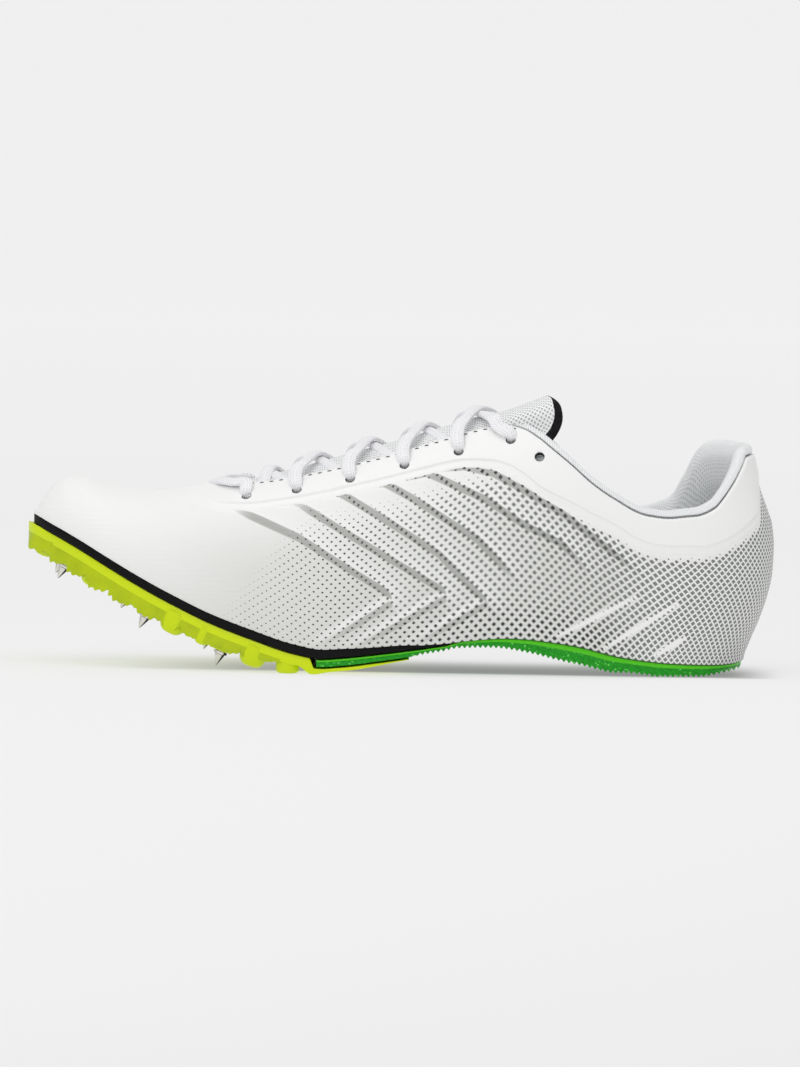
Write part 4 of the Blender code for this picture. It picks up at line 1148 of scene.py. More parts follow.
    def build_pins(self, shop: Workshop) -> None:
        """Steel pins: a round shank, a six-sided flange and a needle point."""
        for index, (station, across) in enumerate(self.pins, 1):
            foot, down = self.under_frame(station, across)
            face = foot + down * self.boss_height
            flange = self.pin_radius * 0.45
            hexagon = turned(
                face, down, self.pin_radius * np.array((0.85, 1, 1, 0.85)), GAP + flange * np.array((0, 0.15, 0.85, 1)), 6
            )
            radii = np.array((1.6, 1.6, 1.6, 1.9, 1.75, 1.1, 0.5, 0.14)) * MM
            depths = np.array((-2.2, 0, 1.3, 1.6, 2.3, 4.0, 5.5, 6.2)) * MM
            point = turned(face, down, radii, depths, 6)
            mesh = joined(f"steel_pin_{index}", [loft("flange", hexagon), loft("point", point)])
            shop.place(f"steel_pin_{index}", mesh, "steel", "steel", (f"pin_{index}",), crisp=30)

    def build_rubber(self, shop: Workshop) -> None:
        """The rubber heel, with saw teeth across it at the tooth pitch.

        The underside is lifted by the tooth depth times a triangle wave of the distance along
        the shoe, so that the ribs run straight across and their ends show as a saw edge.
        """
        last = self.last
        step = self.tooth_pitch / 6 / float(last.place_x(1.0) - last.place_x(0.0))
        stations = np.arange(last.rubber_start, 0.9965, step)
        inward = np.array((0.5, 0.1, 0.0, 0.0, 0.25, 0.5, 0.5, 0.45, 0.6)) * MM
        share = np.array((1.0, 0.97, 0.9, 0.76, 0.66, 0.6, 0.35, 0.1, 0.0))
        top, under = last.rubber_top(stations), last.rubber_under(stations)
        top = top - np.where(stations < last.foam_end + 0.012, GAP, 0)
        rings = slab_rings(last, stations, top, under, self.inset, inward, share)
        points = 28
        blend = np.linspace(0, 1, points + 2)[1:-1]
        low_out, low_in = rings[:, 8], rings[:, 9]
        across = low_out[:, None] + (low_in - low_out)[:, None] * blend[None, :, None]
        rings = np.concatenate((rings[:, :9], across, rings[:, 9:]), axis=1)
        toothed = ease(stations, 0.53, 0.55)[:, None]
        phase = rings[..., 0] / self.tooth_pitch
        wave = np.abs(2 * (phase - np.floor(phase)) - 1)
        low = np.zeros(rings.shape[1])
        low[7 : 9 + points + 2] = 1
        low[6] = low[9 + points + 2] = 0.5
        room = np.maximum(top - under - 2 * GAP, 0)[:, None]
        rings[..., 2] += np.minimum(self.tooth_depth * wave, room) * toothed * low[None, :]
        # Painted highlight along the top edges on both sides
        rim = np.zeros(rings.shape[:2])
        rim[:, :4] = rim[:, -4:] = 1
        mesh = loft("heel_rubber", rings, marks={"rim": rim})
        shop.place("heel_rubber", mesh, "rubber", "rubber", ("heel_outsole",), crisp=35)

    def build_insole(self, shop: Workshop) -> None:
        """The cloth-faced insole, with a rounded edge."""
        last = self.last
        inset = last.wall + GAP
        stations = spaced(0.02, 0.987, 120)
        inward, share = rounded_side(0.6 * MM, 9)
        top, under = last.feather(stations) + self.insole, last.feather(stations) + GAP
        rings = slab_rings(last, stations, top, under, inset, inward, share)
        shop.place("insole_sheet", loft("insole_sheet", rings), "insole", "insole", ("insole",))


@dataclass
class Tongue:
    """The tongue of open mesh with its dark tape at the back."""

    last: Last
    thickness: float = 3.2 * MM
    reach: float = 26 * MM
    binding: float = 2.4 * MM
    end_curve: float = 0.009
    end_draw: float = 0.016
    stations: tuple[float, float] = (0.272, 0.714)
    lining_start: float = 0.675
    lining: float = 4.6 * MM

    def surface(self, station: Array, across: Array, depth: float) -> Array:
        """Points of the tongue at a depth under the last's surface.

        Args:
            station: Stations, shaped (n, 1).
            across: Shares from -1 to 1, shaped (1, m).
            depth: Distance under the last's surface.

        Returns:
            Array (n, m, 3).
        """
        station, across = np.broadcast_arrays(station, across)
        shape = station.shape
        flat, share = station.ravel(), across.ravel()
        side = np.where(share < 0, -1.0, 1.0)
        angles = np.linspace(math.pi / 2, 0, self.last.samples)
        paths = self.last.section(flat[:, None], side[:, None], angles[None, :] + 0 * flat[:, None])
        run = np.abs(share) * self.reach * (0.55 + 0.45 * ease(flat, 0.26, 0.40))
        two = resample(paths, np.stack((run, run + GAP), axis=1))
        point, tangent = two[:, 0], two[:, 1] - two[:, 0]
        tucked = ease(flat, self.lining_start - 0.045, self.lining_start) * ease(np.abs(share), 0.45, 0.85)
        deep = depth + tucked * (self.lining + self.last.wall)
        normal = unit(np.stack((0 * flat, -tangent[:, 2] * side, tangent[:, 1] * side), axis=-1))
        rise = self.last.crest(flat + 0.01) - self.last.crest(flat - 0.01)
        slope = rise / (self.last.place_x(flat + 0.01) - self.last.place_x(flat - 0.01))
        normal = unit(normal + np.stack((-slope, 0 * flat, 0 * flat), axis=-1))
        return (point - normal * deep[:, None]).reshape(*shape, 3)

    def build(self, shop: Workshop) -> None:
        """Makes the tongue and its tape."""
        start, end = self.stations
        clear = self.last.wall + GAP
        across = np.linspace(-1, 1, 61)[None, :]
        out = np.abs(across)
        rounded = self.end_curve * np.sin(math.pi * out / 1.1) ** 1.5 - self.end_draw * ease(out, 0.6, 1)
        station = start + (end + rounded - start) * np.linspace(0, 1, 150)[:, None]
        top = self.surface(station, across, clear)
        bottom = self.surface(station, across, clear + self.thickness)
        rings = np.concatenate((top, bottom[:, ::-1]), axis=1)
        long = self.last.place_x(station) - self.last.place_x(start)
        cells = np.stack(np.broadcast_arrays(long, across * self.reach, 0 * station), axis=-1)
        under_cells = cells[:, ::-1] + np.array((0.0, self.thickness, 0.0))
        marks = {"cells": np.concatenate((cells, under_cells), axis=1)}
        piece = shop.place("tongue_mesh", loft("tongue_mesh", rings, marks=marks), "mesh", "mesh", ("tongue",))
        last_top = self.surface(end + rounded, across, clear)[0]
        last_low = self.surface(end + rounded, across, clear + self.thickness)[0]
        angle = np.linspace(0, math.pi, 9)
        broad = self.binding * (0.12 + 0.88 * ease(out[0], 0.02, 0.55))
        back = np.sin(angle)[None, :, None] * broad[:, None, None] * np.array((1.0, 0.0, 0.0))
        fall = (1 - np.cos(angle))[None, :, None] / 2
        tape = last_top[:, None] + (last_low - last_top)[:, None] * fall + back + np.array((GAP, 0.0, 0.0))
        shop.place("tongue_tape", loft("tongue_tape", tape), "tape", "tape", ("tongue_binding",))


@dataclass
class Collar:
    """The padded knit lining that rolls over the collar's edge."""

    last: Last
    start: float = 0.668
    reach: float = 24 * MM
    pad: float = 4.6 * MM
    roll: float = 3.8 * MM
    fullness: tuple[tuple[float, float], ...] = (
        (0.668, 0.3),
        (0.690, 1.0),
        (0.720, 1.15),
        (0.760, 0.95),
        (0.850, 0.9),
        (0.940, 1.1),
        (1.000, 1.15),
    )

    def build(self, shop: Workshop) -> None:
        """Lofts the lining's rounded section along the collar."""
        last = self.last
        half = np.linspace(0, 1, 121)
        outer = self.start + (1 - self.start) * np.sin(half * math.pi / 2)
        station = np.minimum(np.concatenate((outer, outer[-2::-1])), 0.9995)
        side = np.concatenate((np.full(121, -1.0), np.full(120, 1.0)))
        grown = ease(station, self.start, self.start + 0.12)
        reach = self.reach * (0.5 + 0.5 * ease(station, self.start, self.start + 0.1))
        edge, normal, up = last.frames(station, side, 0 * station)
        lower, lower_normal, _ = last.frames(station, side, reach)
        middle, middle_normal, _ = last.frames(station, side, reach / 2)
        clear = last.wall + 2 * GAP
        pad = (self.pad * (0.45 + 0.55 * grown))[:, None]
        roll = (self.roll * np.interp(station, *np.array(self.fullness).T))[:, None]
        rim = last.overlay
        knots = (
            lower - lower_normal * clear,
            middle - middle_normal * clear,
            edge - normal * clear,
            edge - normal * clear + up * GAP * 3,
            edge + normal * rim * 0.6 + up * GAP * 3,
            edge + normal * rim * 0.4 + up * roll * 0.7,
            edge - normal * pad * 0.35 + up * roll,
            edge - normal * pad * 0.85 + up * roll * 0.8,
            edge - normal * (clear + pad * 0.9) - up * roll * 0.3,
            middle - middle_normal * (clear + pad),
            lower - lower_normal * (clear + pad * 0.3),
        )
        rings = round_loop(np.stack(knots, axis=1), 5)
        size = rings.shape[1]
        along = np.arange(len(station))[:, None] / len(station) * 0.30
        turn = np.arange(size)[None, :] / size * 0.062
        marks = {"cells": np.stack(np.broadcast_arrays(along, turn, 0 * along), axis=-1)}
        piece = shop.place("collar_roll", loft("collar_roll", rings, marks=marks), "lining", "lining", ("collar_lining",))


def round_loop(rings: Array, steps: int) -> Array:
    """Each ring as a smooth closed curve through its points, with steps points for each.

    The curve is Catmull and Rom's cubic: its slope at a point is half the chord of the two
    neighbours, here drawn in a little so that the corners stay inside.
    """
    before, here = np.roll(rings, 1, axis=1), rings
    after, beyond = np.roll(rings, -1, axis=1), np.roll(rings, -2, axis=1)
    t = (np.arange(steps) / steps)[None, None, :, None]
    leave, arrive = (after - before) * 0.32, (beyond - here) * 0.32
    a, b, c, d = (v[:, :, None] for v in (here, leave, after, arrive))
    curve = (
        (2 * t**3 - 3 * t**2 + 1) * a
        + (t**3 - 2 * t**2 + t) * b
        + (3 * t**2 - 2 * t**3) * c
        + (t**3 - t**2) * d
    )
    return curve.reshape(len(rings), -1, 3)


@dataclass
class Lace:
    """The flat lace: one strand that runs from a last eyelet through the bar to the other."""

    last: Last
    upper: Upper
    width: float = 4.9 * MM
    thickness: float = 2.1 * MM
    bar_station: float = 0.253
    dive_lead: float = 0.02
    step: float = 0.6 * MM

    def knot(self, station: float, side: float, distance: float, lift: float, lean: float, width: float) -> Array:
        """One knot of the strand, near the opening's edge.

        Args:
            station: Its station.
            side: Sign of its side.
            distance: Distance down the wall from the edge.
            lift: Height over the last's surface, negative inside the wall.
            lean: Turns the flat side from facing out (0) to facing down the wall (1), and past
                that to facing in (2).
            width: Share of the lace's width.

        Returns:
            Place, facing and width share in one row of 7.
        """
        point, normal, up = (v[()] for v in self.last.frames(station, side, distance))
        turn = lean * math.pi / 2
        facing = normal * math.cos(turn) - up * math.sin(turn)
        return np.concatenate((point + normal * lift, facing, [width]))

    def over(self, station: float, side: float, slant: float = 0.0) -> list[Array]:
        """Knots outside the wall, from the middle of the shoe down to the eyelet.

        Args:
            station: The eyelet's station.
            side: Sign of its side.
            slant: How far from the eyelet the strand crosses the edge, as a station.

        Returns:
            The knots.
        """
        high = self.last.overlay + self.upper.rim_lift + self.thickness / 2
        inset = self.upper.eyelet_inset(station)
        return [
            self.knot(station + 0.012 + slant, side, -5.5 * MM, high + 0.8 * MM, 0.0, 1.0),
            self.knot(station + 0.003 + slant * 0.9, side, -1.6 * MM, high + 1.2 * MM, 0.15, 1.04),
            self.knot(station - 0.001 + slant * 0.5, side, inset * 0.35, high + 0.8 * MM, 0.05, 1.08),
            self.knot(station, side, inset * 0.72, high + 0.3 * MM, 0.35, 1.0),
            self.knot(station, side, inset * 0.86, -self.last.wall * 0.3, 1.0, 0.72),
        ]

    def under(self, station: float, side: float) -> list[Array]:
        """Knots inside the wall, from the middle of the shoe down to the eyelet."""
        deep = -self.last.wall - self.thickness / 2
        inset = self.upper.eyelet_inset(station)
        front = station - self.dive_lead
        return [
            self.knot(front, side, -1.5 * MM, deep + 0.5 * MM, 2.0, 1.0),
            self.knot(front + self.dive_lead * 0.4, side, inset * 0.35, deep - 0.1 * MM, 2.0, 1.0),
            self.knot(station, side, inset * 0.78, deep, 1.7, 0.85),
            self.knot(station, side, inset * 0.86, -self.last.wall * 0.7, 1.0, 0.72),
        ]

    def middle(self, station: float, lift: float) -> Array:
        """A knot on the crest, facing up."""
        crest = self.last.section(np.array(station), np.array(1.0), np.array(math.pi / 2))
        return np.concatenate((crest + np.array((0.0, 0.0, lift)), (0.0, 0.0, 1.0), [1.0]))

    def half(self, side: float) -> list[Array]:
        """Knots from the bar's middle to the end inside the last eyelet, starting on one side."""
        stations = [station for station, _ in self.upper.eyelets[:6]]
        knots = [self.knot(0.266, side, 1.0 * MM, self.last.overlay + 0.9 * MM, 0.0, 1.0)]
        knots.append(self.knot(0.283, side, 3.4 * MM, self.last.overlay + 1.9 * MM, 0.0, 1.05))
        knots += self.over(stations[0], side)[2:]
        knots += self.under(stations[0] + 2 * self.dive_lead, side)[2::-1]
        for index, (front, back) in enumerate(zip(stations[:-1], stations[1:])):
            if index:
                knots += self.under(front, side) + self.over(front, side)[::-1]
            rises = (1.5 if side < 0 else -0.5) * MM - (0.6 * MM if index == 0 else 0)
            knots.append(self.middle((front + back) / 2 - (0.010 if index else 0.004), rises))
            side = -side
        knots += self.over(stations[-1], side, -0.030)[1:]
        inset = self.upper.eyelet_inset(stations[-1])
        end = self.knot(stations[-1] - 0.004, side, inset * 0.8, -3.0 * MM, 1.7, 0.8)
        return knots + [end]

    def centre_line(self) -> Array:
        """The strand's knots joined by Catmull and Rom's curve and rounded by a running mean."""
        left = self.half(Side.OUTER)
        right = self.half(Side.INNER)
        knots = np.array(left[::-1] + [self.middle(self.bar_station, -0.6 * MM)] + right)
        signs = np.where((knots[1:, 3:6] * knots[:-1, 3:6]).sum(axis=1) < 0, -1.0, 1.0)
        knots[1:, 3:6] *= np.cumprod(signs)[:, None]
        before = np.vstack((knots[:1], knots[:-1]))
        after = np.vstack((knots[1:], knots[-1:]))
        slope = (after - before) / 2
        t = (np.arange(16) / 16)[None, :, None]
        a, b, c, d = knots[:-1, None], slope[:-1, None], knots[1:, None], slope[1:, None]
        curve = (2 * t**3 - 3 * t**2 + 1) * a + (t**3 - 2 * t**2 + t) * b
        curve = curve + (3 * t**2 - 2 * t**3) * c + (t**3 - t**2) * d
        curve = curve.reshape(1, -1, 7)
        total = path_lengths(curve)[0]
        line = resample(curve, np.arange(0, total, self.step)[None, :])[0]
        window = np.hanning(7)
        window /= window.sum()
        padded = np.vstack((np.repeat(line[:1], 3, axis=0), line, np.repeat(line[-1:], 3, axis=0)))
        smooth = [np.convolve(padded[:, c], window, mode="valid") for c in range(7)]
        return np.stack(smooth, axis=1)

    def build(self, shop: Workshop) -> None:
        """Sweeps a flat superellipse of power 2.6 along the strand.

        The section narrows where the lace is gathered in an eyelet, and thickens as it narrows.
        """
        line = self.centre_line()
        place, facing, share = line[:, :3], line[:, 3:6], line[:, 6]
        tangent = unit(np.gradient(place, axis=0))
        across = unit(np.cross(facing, tangent))
        facing = np.cross(tangent, across)
        angle = np.arange(22) / 22 * 2 * math.pi
        power = 2 / 2.6
        wide = np.sign(np.cos(angle)) * np.abs(np.cos(angle)) ** power * self.width / 2
        thick = np.sign(np.sin(angle)) * np.abs(np.sin(angle)) ** power * self.thickness / 2
        swell = (1 + 0.55 * (1 - share))[:, None, None]
        rings = place[:, None] + across[:, None] * wide[None, :, None] * share[:, None, None]
        rings = rings + facing[:, None] * thick[None, :, None] * swell
        run = np.arange(len(line)) * self.step / MM
        cells = np.stack(np.broadcast_arrays(run[:, None], (angle / math.pi)[None, :], 0 * run[:, None]), axis=-1)
        mesh = loft("flat_lace", rings, marks={"cells": cells})
        crossings = tuple(f"lace_crossing_{i}" for i in range(1, 6))
        shop.place("flat_lace", mesh, "lace", "lace", ("lace_bar", *crossings), crisp=60)


@dataclass
class Stitches:
    """The thread that shows as short dashes along the throat."""

    last: Last
    upper: Upper
    pitch: float = 3.5 * MM
    length: float = 1.7 * MM
    thread: float = 0.62 * MM
    inset: float = 1.7 * MM
    span: tuple[float, float] = (0.268, 0.672)

    def build(self, shop: Workshop) -> None:
        """Lays half-sunk capsules along a line inside the edge, one for each stitch."""
        low, high = self.span
        count = int(float(self.last.place_x(high) - self.last.place_x(low)) / self.pitch)
        station = np.repeat(np.linspace(low, high, count), 2)
        side = np.tile((-1.0, 1.0), count)
        point, normal, up = self.last.frames(station, side, np.full(len(side), self.inset))
        axis = np.cross(up, normal)
        share = np.array((-1.0, -0.9, -0.5, 0.0, 0.5, 0.9, 1.0))
        girth = np.sqrt(np.maximum(1.02 - share**2, 0))
        parts = []
        for p, n, a in zip(point, normal, axis):
            centre = p + n * (self.last.overlay + self.upper.rim_lift)
            parts.append(loft("stitch", turned(centre, a, girth * self.thread / 2, share * self.length / 2, 8)))
        shop.place("throat_stitches", joined("throat_stitches", parts), "thread", "upper")


class Camera:
    """The photograph's view: nearly side-on from the outer side, with a long lens."""

    distance: float = 3.0
    lens: float = 349.7
    elevation: float = 3.0
    roll: float = 0.98
    aim: tuple[float, float, float] = (-0.0004, 0.0, 0.0520)

    def build(self) -> None:
        """Adds the camera and makes it the scene's."""
        data = bpy.data.cameras.new("camera")
        data.lens = self.lens
        data.sensor_fit = "HORIZONTAL"
        data.clip_end = 50
        camera = bpy.data.objects.new("camera", data)
        tilt = math.radians(self.elevation)
        camera.location = (
            self.aim[0],
            self.aim[1] - self.distance * math.cos(tilt),
            self.aim[2] + self.distance * math.sin(tilt),
        )
        camera.rotation_mode = "XYZ"
        camera.rotation_euler = (math.radians(90 - self.elevation), 0.0, 0.0)
        camera.rotation_euler.rotate_axis("Z", math.radians(self.roll))
        bpy.context.scene.collection.objects.link(camera)
        bpy.context.scene.camera = camera


class Studio:
    """A plain pale floor that curves up behind, and soft light from above and all round."""

    floor_glow: float = 0.612
    glow_near: float = 0.025
    glow_far: float = 0.05
    albedo: float = 0.3
    world_strength: float = 0.62
    shade: float = 0.54
    shade_x: tuple[float, float, float, float] = (-0.125, -0.02, 0.125, 0.15)
    shade_y: tuple[float, float, float, float] = (-0.032, -0.020, -0.01, 0.06)

    def build(self) -> None:
        """Adds the floor, the lamps and the world's light."""
        across = np.linspace(-4, 4, 9)
        turn = np.linspace(0, math.pi / 2, 17)
        depth = np.concatenate(([-6.0, 0.0], 5.0 + 1.5 * np.sin(turn), [6.5]))
        height = np.concatenate(([0.0, 0.0], 1.5 - 1.5 * np.cos(turn), [6.0]))
        grid = np.stack(np.broadcast_arrays(across[:, None], depth[None, :], height[None, :]), axis=-1)
        count, size = grid.shape[:2]
        a = np.arange(count - 1)[:, None] * size + np.arange(size - 1)[None, :]
        quads = np.stack((a, a + size, a + size + 1, a + 1), axis=-1).reshape(-1, 4)
        mesh = bpy.data.meshes.new("floor")
        mesh.from_pydata(grid.reshape(-1, 3).tolist(), [], quads.tolist())
        mesh.shade_smooth()
        floor = bpy.data.objects.new("floor", mesh)
        bpy.context.scene.collection.objects.link(floor)
        paper = bpy.data.materials.new("matt_backdrop_paper")
        paper.use_nodes = True
        self.tone(paper.node_tree)
        mesh.materials.append(paper)
        world = bpy.data.worlds.new("soft_light")
        world.use_nodes = True
        sky = world.node_tree.nodes["Background"]
        sky.inputs["Color"].default_value = (1.0, 1.0, 1.0, 1.0)
        sky.inputs["Strength"].default_value = self.world_strength
        bpy.context.scene.world = world
        bpy.context.scene.view_settings.view_transform = "Standard"
        self.lamp("top_light", (-0.1, -0.25, 1.1), (0.0, 0.0, 0.03), 0.9, 3.2)
        self.lamp("front_light", (-0.5, -1.3, 0.75), (0.0, 0.0, 0.04), 0.5, 3.0)

    def tone(self, tree: bpy.types.NodeTree) -> None:
        """Evens the paper's glow over its depth, and shades it softly under the shoe."""
        parts = add_node(tree, "SeparateXYZ", {0: add_node(tree, "TexCoord").outputs["Object"]})
        sides = [("X", self.shade_x[:2]), ("X", self.shade_x[:1:-1]), ("Y", self.shade_y[:2]), ("Y", self.shade_y[:1:-1])]
        share = None
        for axis, (low, high) in sides:
            edge = add_node(
                tree,
                "MapRange",
                {"Value": parts.outputs[axis], "From Min": low, "From Max": high},
                interpolation_type="SMOOTHSTEP",
            )
            both = {0: edge.outputs[0], 1: share if share is not None else 1.0}
            share = add_node(tree, "Math", both, operation="MULTIPLY").outputs[0]
        light = add_node(tree, "Math", {0: share, 1: -self.shade, 2: 1.0}, operation="MULTIPLY_ADD")
        near = add_node(tree, "MapRange", {"Value": parts.outputs["Y"], "From Min": -1.1, "From Max": 0.4})
        far = add_node(tree, "MapRange", {"Value": parts.outputs["Y"], "From Min": 0.4, "From Max": 2.0})
        first = add_node(
            tree, "Math", {0: near.outputs[0], 1: self.glow_near, 2: self.floor_glow - self.glow_near}, operation="MULTIPLY_ADD"
        )
        glow = add_node(tree, "Math", {0: far.outputs[0], 1: self.glow_far, 2: first.outputs[0]}, operation="MULTIPLY_ADD")
        strength = add_node(tree, "Math", {0: glow.outputs[0], 1: light.outputs[0]}, operation="MULTIPLY")
        albedo = add_node(tree, "Math", {0: light.outputs[0], 1: self.albedo}, operation="MULTIPLY")
        shader = tree.nodes["Principled BSDF"]
        shader.inputs["Roughness"].default_value = 1.0
        shader.inputs["Specular IOR Level"].default_value = 0.0
        shader.inputs["Emission Color"].default_value = (1.0, 1.0, 1.0, 1.0)
        tree.links.new(albedo.outputs[0], shader.inputs["Base Color"])
        tree.links.new(strength.outputs[0], shader.inputs["Emission Strength"])

    def lamp(self, name: str, place: tuple, aim: tuple, size: float, power: float) -> None:
        """Adds one square area lamp that faces its aim."""
        data = bpy.data.lights.new(name, "AREA")
        data.size = size
        data.energy = power
        lamp = bpy.data.objects.new(name, data)
        lamp.location = place
        away = np.array(aim) - np.array(place)
        lamp.rotation_euler = (math.atan2(math.hypot(away[0], away[1]), -away[2]), 0.0, math.atan2(-away[0], away[1]))
        bpy.context.scene.collection.objects.link(lamp)


def linear(colour: str) -> tuple[float, float, float, float]:
    """An sRGB hex colour as linear values."""
    parts = [int(colour[i : i + 2], 16) / 255 for i in (1, 3, 5)]
    return (*((p / 12.92 if p <= 0.04045 else ((p + 0.055) / 1.055) ** 2.4) for p in parts), 1.0)


def add_node(tree: bpy.types.NodeTree, kind: str, inputs: dict | None = None, **settings: object) -> bpy.types.Node:
    """Adds a node.

    Args:
        tree: The material's node tree.
        kind: Blender's name of the node's type, without the leading ShaderNode.
        inputs: Values, or sockets to link, by the input's name or number.
        settings: Properties of the node.

    Returns:
        The new node.
    """
    node = tree.nodes.new("ShaderNode" + kind)
    for key, value in settings.items():
        setattr(node, key, value)
    for key, value in (inputs or {}).items():
        if isinstance(value, bpy.types.NodeSocket):
            tree.links.new(value, node.inputs[key])
        else:
            node.inputs[key].default_value = value
    return node


@dataclass(frozen=True)
class Finish:
    """A material: what it is made of, and the values that its shader starts from."""

    name: str
    colour: str
    roughness: float
    metallic: float = 0.0
    ior: float = 1.5
    coat: float = 0.0
    sheen: float = 0.0
    specular: float = 0.5

    def build(self) -> bpy.types.Material:
        """Makes the material and dresses it."""
        material = bpy.data.materials.new(self.name)
        material.use_nodes = True
        tree = material.node_tree
        shader = tree.nodes["Principled BSDF"]
        shader.inputs["Base Color"].default_value = linear(self.colour)
        shader.inputs["Roughness"].default_value = self.roughness
        shader.inputs["Metallic"].default_value = self.metallic
        shader.inputs["IOR"].default_value = self.ior
        shader.inputs["Coat Weight"].default_value = self.coat
        shader.inputs["Coat Roughness"].default_value = 0.15
        shader.inputs["Sheen Weight"].default_value = self.sheen
        shader.inputs["Specular IOR Level"].default_value = self.specular
        self.dress(tree, shader)
        return material

    def dress(self, tree: bpy.types.NodeTree, shader: bpy.types.Node) -> None:
        """Adds the pattern, which each kind of finish draws for itself."""


@dataclass(frozen=True)
class FilmOnMesh(Finish):
    """Thin white film heat-pressed on mesh, with a printed lattice of dots that grow to diamonds.

    It gives the eye a satin white, tiny dark dots at the forefoot and a dense grey check at the
    heel. The mesh's threads stand 0.9 mm apart and are drawn as soft ripples.
    """

    dot_light: str = "#8b8f8c"
    dot_dark: str = "#2c2f2e"
    # Painted shade that greys the wall towards the bottom
    painted_low_shade: str = "#e0e0dd"
    # Painted shade on the eyelets' cut faces
    hole: str = "#27302c"
    # Painted shade in the pleats
    painted_pleat_shade: str = "#a9aaa6"
    thread: float = 0.9 * MM

    def dress(self, tree: bpy.types.NodeTree, shader: bpy.types.Node) -> None:
        """Mixes base, painted shade low on the wall and in the pleats and eyelets, and dots, and ripples the surface.
        """
        read = {
            mark: add_node(tree, "Attribute", attribute_name=mark)
            for mark in ("cells", "dot", "dark", "shade", "tone", "panel", "painted_low_shade", "hole")
        }
        gaps = []
        for offset in ((0.0, 0.0, 0.0), (0.5, 0.5, 0.0)):
            moved = add_node(tree, "VectorMath", {0: read["cells"].outputs["Vector"], 1: offset}, operation="ADD")
            part = add_node(tree, "VectorMath", {0: moved.outputs[0]}, operation="FRACTION")
            centred = add_node(tree, "VectorMath", {0: part.outputs[0], 1: (0.5, 0.5, 0.0)}, operation="SUBTRACT")
            size = add_node(tree, "VectorMath", {0: centred.outputs[0]}, operation="ABSOLUTE")
            gap = add_node(tree, "VectorMath", {0: size.outputs[0], 1: (1.0, 1.15, 0.0)}, operation="DOT_PRODUCT")
            gaps.append(gap.outputs["Value"])
        nearest = add_node(tree, "Math", {0: gaps[0], 1: gaps[1]}, operation="MINIMUM")
        inside = add_node(tree, "Math", {0: read["dot"].outputs["Fac"], 1: nearest.outputs[0]}, operation="SUBTRACT")
        mask = add_node(
            tree, "MapRange", {"Value": inside.outputs[0], "From Min": -0.012, "From Max": 0.02}, clamp=True
        )
        # Painted shade towards the bottom of the wall
        with_low_shade = add_node(
            tree,
            "MixRGB",
            {"Fac": read["painted_low_shade"].outputs["Fac"], "Color1": linear(self.colour), "Color2": linear(self.painted_low_shade)},
        )
        # Painted shade along the pleats
        band = add_node(
            tree, "MapRange", {"Value": read["shade"].outputs["Fac"], "From Min": -0.15, "From Max": 0.3}
        )
        toned = add_node(tree, "Math", {0: band.outputs[0], 1: read["tone"].outputs["Fac"]}, operation="MULTIPLY")
        shaded = add_node(
            tree,
            "MixRGB",
            {"Fac": toned.outputs[0], "Color1": with_low_shade.outputs[0], "Color2": linear(self.painted_pleat_shade)},
        )
        ink = add_node(
            tree,
            "MixRGB",
            {"Fac": read["dark"].outputs["Fac"], "Color1": linear(self.dot_light), "Color2": linear(self.dot_dark)},
        )
        printed = add_node(
            tree, "MixRGB", {"Fac": mask.outputs[0], "Color1": shaded.outputs[0], "Color2": ink.outputs[0]}
        )
        # Painted shade inside the eyelet holes
        final = add_node(
            tree,
            "MixRGB",
            {"Fac": read["hole"].outputs["Fac"], "Color1": printed.outputs[0], "Color2": linear(self.hole)},
        )
        tree.links.new(final.outputs[0], shader.inputs["Base Color"])
        place = add_node(tree, "TexCoord")
        wide = add_node(tree, "Mapping", {"Vector": place.outputs["Object"], "Scale": (0.35, 1.0, 1.0)})
        weave = add_node(
            tree,
            "TexNoise",
            {"Vector": wide.outputs["Vector"], "Scale": 0.7 / self.thread, "Detail": 2.0, "Roughness": 0.55},
        )
        ripple = add_node(
            tree,
            "TexWave",
            {"Vector": place.outputs["Object"], "Scale": 0.314 / self.thread / 2, "Distortion": 1.5, "Detail": 1.0},
            bands_direction="Z",
        )
        both = add_node(tree, "Math", {0: weave.outputs["Fac"], 1: ripple.outputs["Fac"]}, operation="ADD")
        open_share = add_node(tree, "Math", {0: 1.0, 1: read["panel"].outputs["Fac"]}, operation="SUBTRACT")
        strength = add_node(tree, "Math", {0: open_share.outputs[0], 1: 0.16, 2: 0.03}, operation="MULTIPLY_ADD")
        bump = add_node(
            tree,
            "Bump",
            {"Height": both.outputs[0], "Strength": strength.outputs[0], "Distance": 0.25 * MM},
        )
        tree.links.new(bump.outputs["Normal"], shader.inputs["Normal"])
        gloss = add_node(tree, "Math", {0: open_share.outputs[0], 1: 0.14, 2: 0.42}, operation="MULTIPLY_ADD")
        tree.links.new(gloss.outputs[0], shader.inputs["Roughness"])


